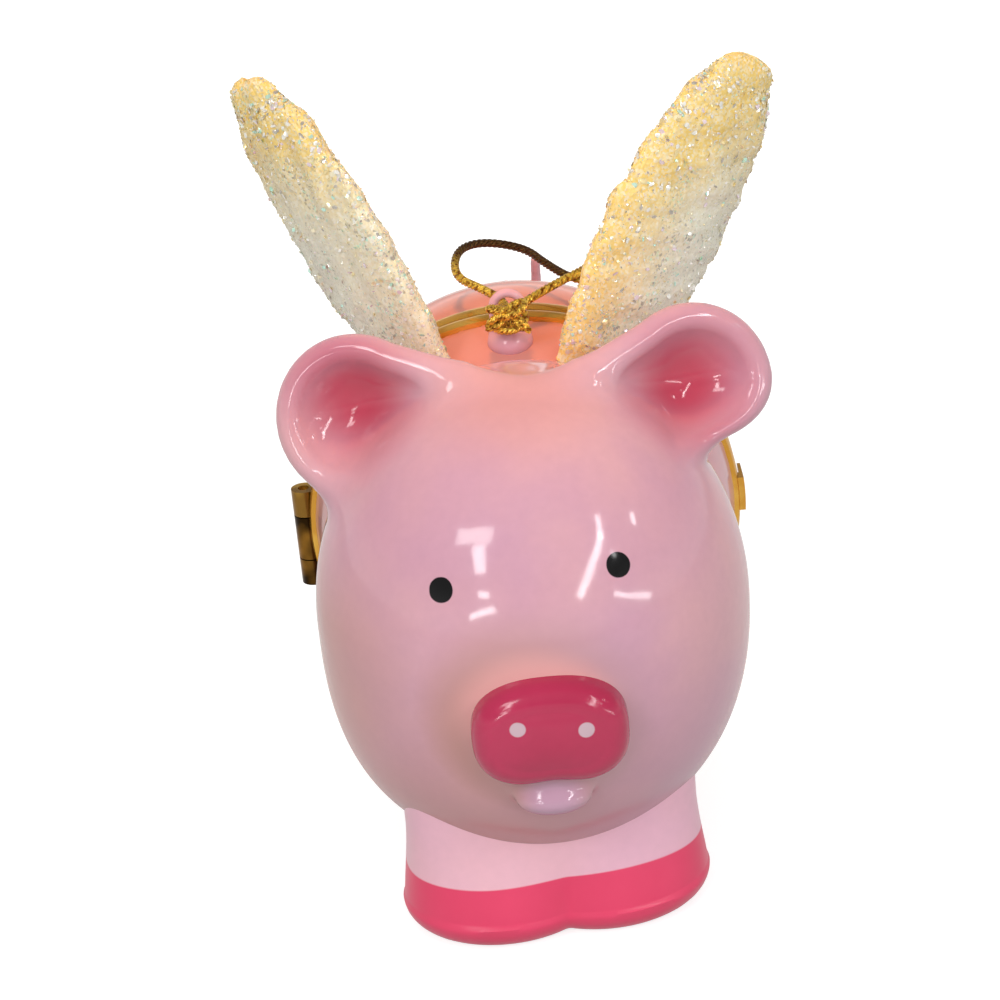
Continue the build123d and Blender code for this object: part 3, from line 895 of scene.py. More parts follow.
def make_dot():
    """1 within a radius of a centre and 0 outside, with a soft and slightly uneven edge."""
    tree, given, put_out = new_group(
        "painted dot",
        [("Centre", "NodeSocketVector", (0, 0, 0)), ("Radius", NUMBER, MM), ("Edge", NUMBER, 0.1 * MM)],
        [("Mask", NUMBER)],
    )
    place = place_of(tree)
    radius = given.outputs["Radius"]
    ends = {0: place, 1: given.outputs["Centre"]}
    away = add_node(tree, "ShaderNodeVectorMath", ends, operation="DISTANCE")
    shift = calculate(tree, "SUBTRACT", noise(tree, place, SPECK_SCALE, 0.0), 0.5)
    uneven = calculate(tree, "MULTIPLY_ADD", shift, BRUSH_WOBBLE, away.outputs["Value"])
    outer = calculate(tree, "ADD", radius, given.outputs["Edge"])
    fill(tree, put_out, {"Mask": remap(tree, uneven, outer, radius, curve=S_CURVE)})
    return tree


POOLING = make_pooling()
DOT = make_dot()


def dot(tree, centre, radius, edge):
    """The mask of a painted dot, in millimetres about the head's axis."""
    values = {"Centre": to_row(centre).tolist(), "Radius": radius * MM, "Edge": edge * MM}
    return add_node(tree, "ShaderNodeGroup", values, node_tree=DOT).outputs["Mask"]


def glaze(name, thin, pooled):
    """A glazed material: pooled colour, uneven gloss and faint waves. Gives the pooling's sockets too."""
    material, tree, shader = new_material(name)
    values = {"Thin": thin, "Pooled": pooled, "Speck": SPECK}
    pool = add_node(tree, "ShaderNodeGroup", values, node_tree=POOLING).outputs
    fill(tree, shader, {"Base Color": pool["Colour"], "Roughness": pool["Roughness"]})
    raise_bump(tree, shader, pool["Height"], 1.0, WAVE_DEPTH)
    return material, tree, shader, pool


print("glaze groups", POOLING.name, DOT.name)

# %% [markdown]
# ## The face
# The glaze isn't one pink all over. Peach is painted on the back and the crown, as painted warm light, and
# round the top of the snout, as a painted lit halo. A duller brown and mauve is painted on the chin, the
# muzzle and the left flank as painted shade, browner to the left as painted warm light and more mauve to
# the right as painted cool light. The lip is mauve. Each of these is a mask along an axis or round a point.
# The eyes are dots of black under the clear glaze, with an edge finer than the mesh, so they are dots in
# the shader. The deep pink sprayed into the ears depends on their cups, so it is worked out on the mesh,
# one number per point.

# %% Head glaze
EYES = [(-9.3, -19.4, HEAD_Z + 11.95), (9.0, -19.1, HEAD_Z + 12.9)]
EYE_RADIUS = 1.28
EYE_EDGE = 0.12
EYE_BLACK = rgb(8, 7, 8)
PINK_THIN = rgb(228, 173, 176)
PINK_POOLED = rgb(208, 157, 178)
# Peach of the painted warm light on the back and the crown
WARM_LIT_PEACH = rgb(216, 126, 80)
# Painted shade on the chin, muzzle and left flank: brown at the left in warmer light, mauve at the right
SHADE_BROWN = rgb(196, 142, 131)
SHADE_MAUVE = rgb(200, 158, 172)
# Peach of the painted light on the top of the muzzle, round the snout
MUZZLE_LIT_PEACH = rgb(234, 168, 164)
LIP_MAUVE = rgb(196, 154, 176)
BLUSH_PINK = rgb(190, 66, 88)
# Masks along an axis: where each starts, where it is strongest, how strong that is, and its curve
# The first two masks place the painted warm light on the back and the top
BACK_WARM_LIGHT = ("Y", 6.0, 14.0, 1.0, S_CURVE)
TOP_WARM_LIGHT = ("Z", HEAD_Z + 8.0, HEAD_Z + 22.0, 0.6, S_CURVE)
# The next four masks place the painted shade on the chin and the left flank, and its colour across
CHIN_SHADE = ("Z", HEAD_Z + 6.0, 8.0, 0.75, S_CURVE)
LEFT_SHADE = ("X", -12.0, -24.0)
UNDER_EAR_SHADE = ("Z", HEAD_Z + 14.0, HEAD_Z + 4.0, 0.75)
SHADE_ACROSS = ("X", -12.0, 16.0)
ABOVE_SNOUT = ("Z", HEAD_Z - 5.0, HEAD_Z + 1.0, 0.75)
# Masks round a point: the point, the radius and the soft edge
MUZZLE_MIDDLE = (-0.8, -23.4, HEAD_Z - 3.2)
# Painted warm light on the crown
CROWN_WARM_LIGHT_DOT = ((0.0, -5.0, HEAD_Z + 26.0), 1.0, 11.0)
# Painted shade round the muzzle
MUZZLE_SHADE_DOT = (MUZZLE_MIDDLE, 8.0, 7.0)
# Painted light: a peach halo round the top of the snout
LIT_HALO_DOT = (MUZZLE_MIDDLE, 7.0, 3.4)
LIP_DOT = (LIP_PLACE, 2.2, 2.2)
CROWN_WARM_LIGHT_STRENGTH = 0.25
MUZZLE_SHADE_STRENGTH = 0.9
CHIN_DULLNESS = 0.2


def axis_mask(tree, axes, axis, start, end, most=1.0, curve="LINEAR"):
    """A mask that rises along an axis between two places in millimetres about the head's axis."""
    origin = HEAD_AXIS["XYZ".index(axis)]
    return remap(tree, axes[axis], origin + start * MM, origin + end * MM, most=most, curve=curve)


def head_glaze():
    """Pink glaze, painted warm light on top, painted shade below, a painted lit halo, the lip, ears and
    eyes.
    """
    material, tree, shader, pool = glaze("pink glaze", PINK_THIN, PINK_POOLED)
    axes = axes_of(tree, place_of(tree))
    # Painted warm light: peach on the back, the shoulders and the crown
    behind = calculate(tree, "MULTIPLY", axis_mask(tree, axes, *BACK_WARM_LIGHT), axis_mask(tree, axes, *TOP_WARM_LIGHT))
    warm_light = calculate(tree, "MULTIPLY_ADD", dot(tree, *CROWN_WARM_LIGHT_DOT), CROWN_WARM_LIGHT_STRENGTH, behind)
    colour = mix(tree, warm_light, pool["Colour"], WARM_LIT_PEACH)
    # Painted shade: darker brown and mauve on the chin, round the muzzle and on the left flank
    chin = axis_mask(tree, axes, *CHIN_SHADE)
    muzzle_shade = calculate(tree, "MULTIPLY", dot(tree, *MUZZLE_SHADE_DOT), MUZZLE_SHADE_STRENGTH)
    leftward = axis_mask(tree, axes, *LEFT_SHADE)
    flank_shade = calculate(tree, "MULTIPLY", leftward, axis_mask(tree, axes, *UNDER_EAR_SHADE))
    run = calculate(tree, "MAXIMUM", calculate(tree, "MAXIMUM", muzzle_shade, chin), flank_shade)
    painted_shade_colour = mix(tree, axis_mask(tree, axes, *SHADE_ACROSS), SHADE_BROWN, SHADE_MAUVE)
    colour = mix(tree, run, colour, painted_shade_colour)
    # Painted light: a peach halo on the muzzle above the snout
    lit_halo = calculate(tree, "MULTIPLY", dot(tree, *LIT_HALO_DOT), axis_mask(tree, axes, *ABOVE_SNOUT))
    colour = mix(tree, lit_halo, colour, MUZZLE_LIT_PEACH)
    lip = dot(tree, *LIP_DOT)
    colour = mix(tree, lip, colour, LIP_MAUVE)
    colour = mix(tree, stored(tree, "blush"), colour, BLUSH_PINK)
    for eye in EYES:
        colour = mix(tree, dot(tree, eye, EYE_RADIUS, EYE_EDGE), colour, EYE_BLACK)
    matt = calculate(tree, "SUBTRACT", chin, lip, clamp=True)
    dull = calculate(tree, "MULTIPLY_ADD", matt, CHIN_DULLNESS, pool["Roughness"])
    fill(tree, shader, {"Base Color": colour, "Roughness": dull})
    return material


# %% The front shell's piece
# How far up and across from each ear's middle
BLUSH_MIDDLES = [(1.3, -2.0), (0.0, -0.6)]
BLUSH_HALF_HEIGHT = 10.0
BLUSH_HALF_WIDTH = 9.8
BLUSH_BACK = (-7.0, -4.5)
BLUSH_TURN = (0.1, 0.9)
BLUSH_FADE = (0.02, 0.85)


def ear_blush(points, normals):
    """Sprayed from in front: an oval that is strongest in an ear's hollow and gone on turned-away sides."""
    blush = np.zeros(len(points))
    for ear, (blush_up, blush_across) in zip(EARS, BLUSH_MIDDLES):
        ahead, up, across, _ = ear_place(points, *ear)
        reach = np.hypot((up - blush_up) / BLUSH_HALF_HEIGHT, (across - blush_across) / BLUSH_HALF_WIDTH)
        towards = (normals * (ear[0], 1, 1)) @ EAR_FACING
        sprayed = ease(towards, *BLUSH_TURN) * ease(ahead, *BLUSH_BACK)
        blush = np.maximum(blush, ease(1 - reach, *BLUSH_FADE) * sprayed)
    return blush


pink_glaze = head_glaze()
front_shell = make_piece("front_shell_glaze", front_part, FRONT_HALF, pink_glaze,
                         ["front_shell", "left_ear", "right_ear"], front_normals)
store(front_shell, "blush", ear_blush(front_part[0], front_normals))

# %% [markdown]
# ## The rear shell
# The back half is a plain turned form: one outline in the plane of radius and length, carried round the
# body's axis. The outline runs from the rump forward to the rim, steps in under the rim's band, crosses
# the edge, and goes back along the inside. Elliptical stretches follow the cosine and sine of an angle.

# %% Rear shell
REAR_RIM_EDGE = 24.4
REAR_STEP = 0.3
REAR_END = 23.25
REAR_SKIRT_END = 26.2
ROUND_STEPS = 144
OUTSIDE_RINGS = 70
INSIDE_RINGS = 60


def body_arc(inset, start_y, end_y, count):
    """Radius and length along the body's ellipse between two places, evenly in its angle."""
    half_length = BODY_HALF_LENGTH - inset
    start, end = np.arcsin((np.array([start_y, end_y]) - BODY_Y) / half_length)
    angle = np.linspace(start, end, count)
    return np.column_stack([(BODY_RADIUS - inset) * np.cos(angle), BODY_Y + half_length * np.sin(angle)])


def rear_shell_part():
    """The outline turned about the body's axis."""
    edge = np.array([
        (BODY_RADIUS - UNDER_RIM_STEP, REAR_RIM_EDGE - REAR_STEP),
        (BODY_RADIUS - UNDER_RIM_STEP, REAR_END),
        (SKIRT_BORE, REAR_END),
        (SKIRT_BORE, REAR_SKIRT_END),
    ])
    rump = BODY_Y + BODY_HALF_LENGTH
    outside = body_arc(0, rump, REAR_RIM_EDGE, OUTSIDE_RINGS)
    inside = body_arc(WALL, REAR_SKIRT_END, rump - WALL, INSIDE_RINGS)
    outline = np.vstack([outside, edge, inside])
    angle = np.linspace(0, 2 * np.pi, ROUND_STEPS, endpoint=False)
    radius, length = outline[:, :1], outline[:, 1:]
    x = radius * np.sin(angle)
    z = BODY_Z + radius * np.cos(angle)
    return skin(np.stack([x, length + 0 * angle, z], axis=-1))


make_piece("rear_shell_glaze", rear_shell_part(), REAR_HALF, pink_glaze, ["rear_shell"])

# %% [markdown]
# ## The snout
# The snout is a thick rounded disc with a dip in its lower edge. Its outline is a superellipse, which
# lies between an oval and a rectangle. Rings of that outline run from the middle of its face, over a
# rounded edge, and back into the muzzle, where the last rings follow the head so that nothing shows
# inside.

# %% Snout shape
SNOUT_X = 0.6
SNOUT_Z = HEAD_Z - 2.8
SNOUT_FRONT = HEAD_RADIUS + 3.6
SNOUT_HALF_WIDTH = 8.2
SNOUT_HALF_HEIGHT = 6.1
SNOUT_TOP_POWER = 2.25
SNOUT_FOOT_POWER = 2.7
SNOUT_ROUND = 2.5
SNOUT_DOME = 0.6
SNOUT_DIP = 0.6
SNOUT_DIP_WIDTH = 3.0
SNOUT_STEPS = 128
SNOUT_FACE_RINGS = 14
SNOUT_EDGE_RINGS = 12
SEAT_SHARES = np.array([1.0, 0.7, 0.4, 0.0])[:, None]
SEAT_DEPTH = 1.0


def head_front(x, z):
    """How far forward the head's surface is, at a place across and a height."""
    height = np.abs(z - HEAD_Z) / HEAD_HALF_HEIGHT
    power = np.where(z > HEAD_Z, CROWN_POWER, JAW_POWER)
    radius = HEAD_RADIUS * (1 - height**power) ** (1 / power)
    return -np.sqrt(radius**2 - x**2)


def snout_part():
    """Superellipse rings: the domed face, the quarter round at its edge, the side, and the seat."""
    angle = np.linspace(0, 2 * np.pi, SNOUT_STEPS, endpoint=False)
    cosine, sine = np.cos(angle), np.sin(angle)
    power = np.where(sine > 0, SNOUT_TOP_POWER, SNOUT_FOOT_POWER)
    across = np.sign(cosine) * np.abs(cosine) ** (2 / power)
    up = np.sign(sine) * np.abs(sine) ** (2 / power)
    turn = np.linspace(0, np.pi / 2, SNOUT_EDGE_RINGS)
    face = np.linspace(0, 1, SNOUT_FACE_RINGS)[:-1]
    edge_in = SNOUT_ROUND * (1 - np.sin(turn))
    inset = np.concatenate([SNOUT_ROUND + (SNOUT_HALF_HEIGHT - SNOUT_ROUND) * (1 - face), edge_in])
    forward = np.concatenate([SNOUT_DOME * (1 - face**2), SNOUT_ROUND * (np.cos(turn) - 1)])
    share = 1 - inset / SNOUT_HALF_HEIGHT
    wide = np.concatenate([(SNOUT_HALF_WIDTH - SNOUT_ROUND) * face, SNOUT_HALF_WIDTH - edge_in])
    x = wide[:, None] * across
    z = (SNOUT_HALF_HEIGHT - inset)[:, None] * up
    z = z + SNOUT_DIP * share[:, None] * np.maximum(-up, 0) * np.exp(-((x / SNOUT_DIP_WIDTH) ** 2))
    y = -SNOUT_FRONT - forward[:, None] + 0 * x + SNOUT_DOME
    front = np.stack([SNOUT_X + x, y, SNOUT_Z + z], axis=-1)
    seat_x = SNOUT_X + SEAT_SHARES * x[-1]
    seat_z = SNOUT_Z + SEAT_SHARES * z[-1]
    seat = np.stack([seat_x, head_front(seat_x, seat_z) + SEAT_DEPTH, seat_z], axis=-1)
    return skin(np.concatenate([front, seat]))


# %% Snout glaze
NOSTRILS = [(-2.75, SNOUT_Z + 2.05), (4.35, SNOUT_Z + 1.35)]
NOSTRIL_RADIUS = 0.82
NOSTRIL_EDGE = 0.16
NOSTRIL_WHITE = rgb(206, 176, 186)
SNOUT_THIN = rgb(196, 52, 92)
SNOUT_POOLED = rgb(180, 42, 78)
SNOUT_DULLNESS = 0.05


def snout_glaze():
    """Deep pink glaze, a little less glossy than the head's, with two pale painted dots."""
    material, tree, shader, pool = glaze("snout glaze", SNOUT_THIN, SNOUT_POOLED)
    colour = pool["Colour"]
    for x, z in NOSTRILS:
        nostril = dot(tree, (x, -SNOUT_FRONT, z), NOSTRIL_RADIUS, NOSTRIL_EDGE)
        colour = mix(tree, nostril, colour, NOSTRIL_WHITE)
    satin = calculate(tree, "ADD", pool["Roughness"], SNOUT_DULLNESS)
    fill(tree, shader, {"Base Color": colour, "Roughness": satin})
    return material


make_piece("snout_disc", snout_part(), FRONT_HALF, snout_glaze(), ["snout"])

# %% [markdown]
# ## The legs
# Each pair of legs is one short block with two rounded lobes and a shallow groove between them. Its
# outline is the farther of two overlapping ovals in every direction, and it passes into one plain trunk
# on its way up from a rounded foot to the belly. The hooves are dipped in a deep pink whose upper edge
# wanders a little.

# %% Legs shape
LEG_HALF_WIDTH = 10.5
LEG_HALF_DEPTH = 8.7
LEG_SPREAD = 5.8
LEG_STEPS = 160
SOLE_RINGS = 8
FOOT_RINGS = 10
LEG_RINGS = 40
BELLY_RINGS = 7
FOOT_ROUND = 3.0
FOOT_FLARE = 1.2
GROOVE_SOFT = 0.5
GROOVE_TOP = 13.0
TRUNK_HALF_DEPTH = 8.0
TRUNK_POWER = 2.6
FRONT_TOE_IN = np.radians(6.5)


def trunk(angle):
    """Distance from the middle to a superellipse as wide as both lobes together, with no groove."""
    across = np.abs(np.cos(angle)) / (LEG_HALF_WIDTH + LEG_SPREAD)
    deep = np.abs(np.sin(angle)) / TRUNK_HALF_DEPTH
    return (across**TRUNK_POWER + deep**TRUNK_POWER) ** (-1 / TRUNK_POWER)


def lobes(angle):
    """Distance from the middle to the farther of two ovals set apart by LEG_SPREAD each way."""
    across, deep = np.cos(angle) / LEG_HALF_WIDTH, np.sin(angle) / LEG_HALF_DEPTH
    apart = LEG_SPREAD / LEG_HALF_WIDTH
    square = across**2 + deep**2
    root = np.sqrt(np.maximum(square - (apart * deep) ** 2, 0))
    near, far = (-across * apart + root) / square, (across * apart + root) / square
    return -blend(-near, -far, GROOVE_SOFT)


def underside(x, y):
    """Height of the head's or the body's lower side, whichever is lower, over a place on the floor."""
    around = np.minimum(np.hypot(x, y) / HEAD_RADIUS, 1)
    head = HEAD_Z - HEAD_HALF_HEIGHT * (1 - around**JAW_POWER) ** (1 / JAW_POWER)
    rest = 1 - ((y - BODY_Y) / BODY_HALF_LENGTH) ** 2 - (x / BODY_RADIUS) ** 2
    body = BODY_Z - BODY_RADIUS * np.sqrt(np.maximum(rest, 0))
    return np.minimum(head, body)


def legs_part(legs_y, toe_in):
    """Rings of the outline: the sole, the quarter round of the foot, the sides, and a seat in the belly.

    From the floor up, the two lobes pass smoothly into one trunk, and the block is turned by toe_in."""
    angle = np.linspace(0, 2 * np.pi, LEG_STEPS, endpoint=False)

    def stand(reach):
        """X and Y at a reach from the block's middle, in every direction."""
        return reach * np.cos(angle + toe_in), legs_y + reach * np.sin(angle + toe_in)

    foot = lobes(angle) + FOOT_FLARE
    turn = np.linspace(0, np.pi / 2, FOOT_RINGS)
    sole = np.linspace(0, 1, SOLE_RINGS)[:-1]
    rounded = foot - FOOT_ROUND * (1 - np.sin(turn))[:, None]
    lower_reach = np.concatenate([sole[:, None] * (foot - FOOT_ROUND), rounded])
    lower_z = np.concatenate([0 * sole, FOOT_ROUND * (1 - np.cos(turn))])[:, None] + 0 * angle
    lower = np.stack([*stand(lower_reach), lower_z], axis=-1)
    top = underside(*stand(trunk(angle))) + SEAT_DEPTH
    side_z = FOOT_ROUND + np.linspace(0, 1, LEG_RINGS)[1:, None] * (top - FOOT_ROUND)
    share = ease(side_z, 0, GROOVE_TOP)
    sides = np.stack([*stand((1 - share) * foot + share * trunk(angle)), side_z], axis=-1)
    cap_x, cap_y = stand(np.linspace(1, 0, BELLY_RINGS)[1:, None] * trunk(angle))
    cap = np.stack([cap_x, cap_y, underside(cap_x, cap_y) + SEAT_DEPTH], axis=-1)
    return skin(np.concatenate([lower, sides, cap]))


print("feet", 2 * (LEG_HALF_WIDTH + LEG_SPREAD + FOOT_FLARE), "mm wide")

# %% Legs glaze
HOOF_TOP = 7.9
HOOF_WANDER = 1.2
HOOF_EDGE = 0.1
HOOF_DEEP = rgb(226, 58, 98)
HOOF_PINK = rgb(242, 74, 114)
WANDER_SCALE = 60.0
BRUSH_SCALE = 120.0
LEG_THIN = rgb(246, 192, 202)
LEG_POOLED = rgb(238, 186, 206)
LEG_DULLNESS = 0.22


def legs_glaze():
    """Pale pink, less glossy than the head, with the hooves' paint below a wandering line."""
    material, tree, shader, pool = glaze("leg glaze", LEG_THIN, LEG_POOLED)
    place = place_of(tree)
    wander = noise(tree, place, WANDER_SCALE, 0.0)
    level = calculate(tree, "MULTIPLY_ADD", wander, -HOOF_WANDER * MM, axes_of(tree, place)["Z"])
    line = HOOF_TOP - HOOF_WANDER / 2
    dipped = remap(tree, level, (line + HOOF_EDGE) * MM, (line - HOOF_EDGE) * MM)
    paint = mix(tree, noise(tree, place, BRUSH_SCALE, 4.0), HOOF_DEEP, HOOF_PINK)
    satin = calculate(tree, "ADD", pool["Roughness"], LEG_DULLNESS)
    fill(tree, shader, {"Base Color": mix(tree, dipped, pool["Colour"], paint), "Roughness": satin})
    return material


leg_glaze = legs_glaze()
front_legs = legs_part(FRONT_LEGS_Y, FRONT_TOE_IN)
hind_legs = legs_part(HIND_LEGS_Y, 0.0)
make_piece("front_legs_glaze", front_legs, FRONT_HALF, leg_glaze, ["front_legs"])
make_piece("hind_legs_glaze", hind_legs, REAR_HALF, leg_glaze, ["hind_legs"])

# %% [markdown]
# ## Eyelet and tail
# Both are thin rolls of clay pressed onto the shell, so they are made from distances again, on a finer
# grid. The eyelet is an arch on a low ball. The tail follows a curl, and its distance is the nearest of
# many balls strung along that curl, which shrink towards the tip and swell at the root.

# %% Eyelet
EYELET_FOOT = (2.5, 2.5, 1.9)
EYELET_BLEND = 0.9
LOOP_RADIUS = 0.5
LOOP_BEND = 1.62
LOOP_SINK = 1.5
EYELET_LOW = (-4, EYELET_Y - 4, EYELET_Z - 9)
EYELET_HIGH = (4, EYELET_Y + 4, EYELET_Z + 4)
EYELET_CELL = 0.2


def eyelet_distance(points):
    """A half ring on two straight legs, blended into a pressed ball."""
    x, y, z = np.moveaxis(points, -1, 0)
    above = z - EYELET_Z
    from_middle = np.where(above > 0, np.hypot(x, above), np.abs(x))
    arch = np.hypot(from_middle - LOOP_BEND, y - EYELET_Y) - LOOP_RADIUS
    foot_z = BODY_Z + body_radius(EYELET_Y)
    arch = np.maximum(arch, foot_z - LOOP_SINK - z)
    return blend(arch, ball_distance(points, (0, EYELET_Y, foot_z), EYELET_FOOT), EYELET_BLEND)


eyelet_part, eyelet_normals = surface_nets(eyelet_distance, EYELET_LOW, EYELET_HIGH, EYELET_CELL)
roll_glaze, *_ = glaze("rolled clay glaze", PINK_THIN, PINK_POOLED)
make_piece("hanging_eyelet_glaze", eyelet_part, FRONT_HALF, roll_glaze, ["hanging_eyelet"],
           eyelet_normals)

# %% Tail
TAIL_ANGLE = np.radians(23.4)
TAIL_Y = BODY_Y + BODY_HALF_LENGTH * np.cos(TAIL_ANGLE)
TAIL_Z = BODY_Z + BODY_RADIUS * np.sin(TAIL_ANGLE)
TAIL_OUT = 1.0
TAIL_LOOP = 2.7
TAIL_STEP = 1.32
TAIL_TIP_RISE = 8.8
TAIL_ROOT = (0, TAIL_Y - 1.6, TAIL_Z - 0.4)
# Loops across, steps back and loops up
TAIL_CURL = np.array([
    (0, 0, 0),
    (1, 1, 1),
    (0, 1.5, 2),
    (-1, 2, 1),
    (0, 2.5, 0.3),
    (1.3, 2.2, 1.4),
    (1.5, 1.2, TAIL_TIP_RISE / TAIL_LOOP),
])
TAIL_BALLS = 90
TAIL_LOW = (-6, TAIL_Y - 4, TAIL_Z - 4)
TAIL_HIGH = (8, TAIL_Y + 8, TAIL_Z + 14)
TAIL_CELL = 0.3
TAIL_THICK = 1.2
TAIL_TAPER = 0.6
TAIL_SWELL = 0.9
SWELL_END = 0.13
FAR_AWAY = 99.0


def smooth_path(points, count):
    """A Catmull-Rom curve: each span is a cubic that leaves and arrives along its neighbours' directions."""
    points = np.asarray(points, dtype=float)
    padded = np.vstack([2 * points[0] - points[1], points, 2 * points[-1] - points[-2]])
    place = np.linspace(0, len(points) - 1, count)
    span = np.minimum(place.astype(int), len(points) - 2)
    t = (place - span)[:, None]
    a, b, c, d = (padded[span + step] for step in range(4))
    return 0.5 * (2 * b + (c - a) * t + (2 * a - 5 * b + 4 * c - d) * t**2 + (3 * b - a - 3 * c + d) * t**3)


curl_points = np.array([0, TAIL_Y + TAIL_OUT, TAIL_Z]) + TAIL_CURL * (TAIL_LOOP, TAIL_STEP, TAIL_LOOP)
tail_line = smooth_path([TAIL_ROOT, *curl_points], TAIL_BALLS)
along_tail = np.linspace(0, 1, TAIL_BALLS)
tail_radius = TAIL_THICK - TAIL_TAPER * along_tail + TAIL_SWELL * (1 - ease(along_tail, 0.0, SWELL_END))


def tail_distance(points):
    """The nearest of the balls strung along the curl."""
    nearest = np.full(points.shape[:-1], FAR_AWAY)
    for centre, radius in zip(tail_line, tail_radius):
        nearest = np.minimum(nearest, np.linalg.norm(points - centre, axis=-1) - radius)
    return nearest


tail_part, tail_normals = surface_nets(tail_distance, TAIL_LOW, TAIL_HIGH, TAIL_CELL)
make_piece("tail_curl", tail_part, REAR_HALF, roll_glaze, ["tail"], tail_normals)

# %% [markdown]
# ## The wings
# The wings are white castings rolled in glue and iridescent glitter. Under the glitter a wing is a stack
# of oval sections, set back along its length, narrowed towards both ends, and pinched at its edges where
# moulded feathers meet. The coat of glitter has two parts: a grainy crust, made by moving every point of
# a fine grid in or out by a random amount, and loose flakes on top, low six-sided plates tilted at
# random, which catch the light one by one.

# %% Wing shape
WING_THICKNESS = 5.0
WING_ROOT_Y = 16.0
WING_ROOT_TILT = np.radians(24.0)
WING_SWEEP = np.radians(9.5)
# Share of the length, of the chord and of the thickness, then how far back the middle lies as a share
WING_SECTIONS = [
    (-0.06, 0.50, 0.74, 0.00),
    (0.08, 0.72, 0.88, 0.06),
    (0.24, 0.94, 1.00, 0.12),
    (0.42, 1.00, 1.00, 0.13),
    (0.60, 0.96, 0.96, 0.14),
    (0.76, 0.86, 0.90, 0.16),
    (0.88, 0.70, 0.80, 0.18),
    (0.945, 0.55, 0.68, 0.19),
]
TIP_ROUND = 0.075
FEATHERS = 5.5
FEATHER_NOTCH = 0.03
FEATHER_START = (0.1, 0.3)
LUMP_SIZE = 5.0
LUMP_HEIGHT = 0.2
LUMP_WAVES = 8
WAVE_LENGTHS = (0.7, 1.4)
GRAIN = 0.055
# Where the painted warm light sets in across the inner edge and along to the tip
WARM_LIT_EDGE = (-0.4, 1.0)
WARM_LIT_TIP = (0.45, 0.95)
WING_SINK = 1.5
WING_CLEARANCE = 0.9
WING_RINGS = 170
TIP_RINGS = 9
WING_AROUND = 190


def lumps(points, size, draw):
    """Smooth unevenness, about -1 to 1: a sum of sine waves in random directions, about one size long."""
    heading = unit(draw.normal(size=(LUMP_WAVES, 3)))
    way = heading * 2 * np.pi / (size * draw.uniform(*WAVE_LENGTHS, (LUMP_WAVES, 1)))
    waves = np.sin(points @ way.T + draw.uniform(0, 2 * np.pi, LUMP_WAVES))
    return waves.sum(axis=-1) / np.sqrt(LUMP_WAVES)


def keep_off(points):
    """Pushes points that are too deep in the shoulders, or too near the rear half's path, straight out."""
    deep = solid_distance(points) + WING_SINK
    out = unit(slope_of(solid_distance, points))
    points = points + np.maximum(-deep, 0)[:, None] * out
    from_axis = points - (0, BODY_Y, BODY_Z)
    from_axis[:, 1] = 0
    reach = np.linalg.norm(from_axis, axis=1)
    behind = points[:, 1] > FRONT_RIM_EDGE - WING_CLEARANCE
    short = np.where(behind, np.maximum(BODY_RADIUS + WING_CLEARANCE - reach, 0), 0)
    return points + (short / reach)[:, None] * from_axis


def wing_axes(lean, splay):
    """The wing's root, and its directions up along it, back along its chord and across its thickness."""
    root_radius = body_radius(WING_ROOT_Y)
    root_z = BODY_Z + root_radius * np.cos(WING_ROOT_TILT)
    root = np.array([root_radius * np.sin(WING_ROOT_TILT), WING_ROOT_Y, root_z])
    up = unit(np.array([np.tan(lean), np.tan(WING_SWEEP), 1.0]))
    level_back = np.array([np.sin(splay), np.cos(splay), 0.0])
    back = unit(level_back - up * (level_back @ up))
    return root, up, back, np.cross(up, back)


def wing_sections():
    """The sections' shares, smoothed, and a round tip: sine along, root of what is left in size."""
    sections = smooth_path(WING_SECTIONS, WING_RINGS)
    dome = np.sin(np.linspace(0, np.pi / 2, TIP_RINGS))[1:]
    shrink = np.sqrt(1 - dome**2)
    along, chord, thickness, set_back = sections[-1]
    tip = [along + TIP_ROUND * dome, chord * shrink, thickness * shrink, set_back + 0 * dome]
    return np.column_stack([sections.T, tip])


def wing_rings(lean, splay, mirror, length, width, shift, edge_warm_lit, draw):
    """Oval sections along the wing: chord times cos u along the back way, thickness times sin u across."""
    root, up, back, across = wing_axes(np.radians(lean), np.radians(splay))
    along, chord, thickness, set_back = wing_sections()
    u = np.linspace(0, 2 * np.pi, WING_AROUND, endpoint=False)
    between = (1 - np.abs(np.sin(np.pi * FEATHERS * along))) ** 2
    notch = FEATHER_NOTCH * between * ease(along, *FEATHER_START)
    half_chord = width / 2 * chord[:, None] - width * notch[:, None] * np.cos(u) ** 2
    along_back = shift + width * set_back[:, None] + half_chord * np.cos(u)
    along_across = WING_THICKNESS / 2 * thickness[:, None] * np.sin(u)
    rings = root + (length * along)[:, None, None] * up
    rings = rings + along_back[..., None] * back + along_across[..., None] * across
    grain = draw.uniform(-GRAIN, GRAIN, rings.shape[:2])
    grain = grain + 0.5 * (np.roll(grain, 1, axis=0) + np.roll(grain, 1, axis=1))
    round_step = np.roll(rings, -1, axis=1) - np.roll(rings, 1, axis=1)
    # Some points of the last ring coincide, so they face nowhere and stay
    with np.errstate(invalid="ignore"):
        facing = np.nan_to_num(unit(np.cross(np.gradient(rings, axis=0), round_step)))
    grain = grain + LUMP_HEIGHT * lumps(rings, LUMP_SIZE, draw)
    rings = rings + grain[..., None] * facing
    rings = keep_off(rings.reshape(-1, 3)).reshape(rings.shape)
    # Painted warm light: cream towards the tip and along the inner edge
    warm_lit = ease(along, *WARM_LIT_TIP)[:, None] + edge_warm_lit * ease(-np.cos(u), *WARM_LIT_EDGE)
    rings[..., 0] *= mirror
    return rings, np.clip(warm_lit, 0, 1)


print("wing root", wing_axes(0.0, 0.0)[0].round(1))

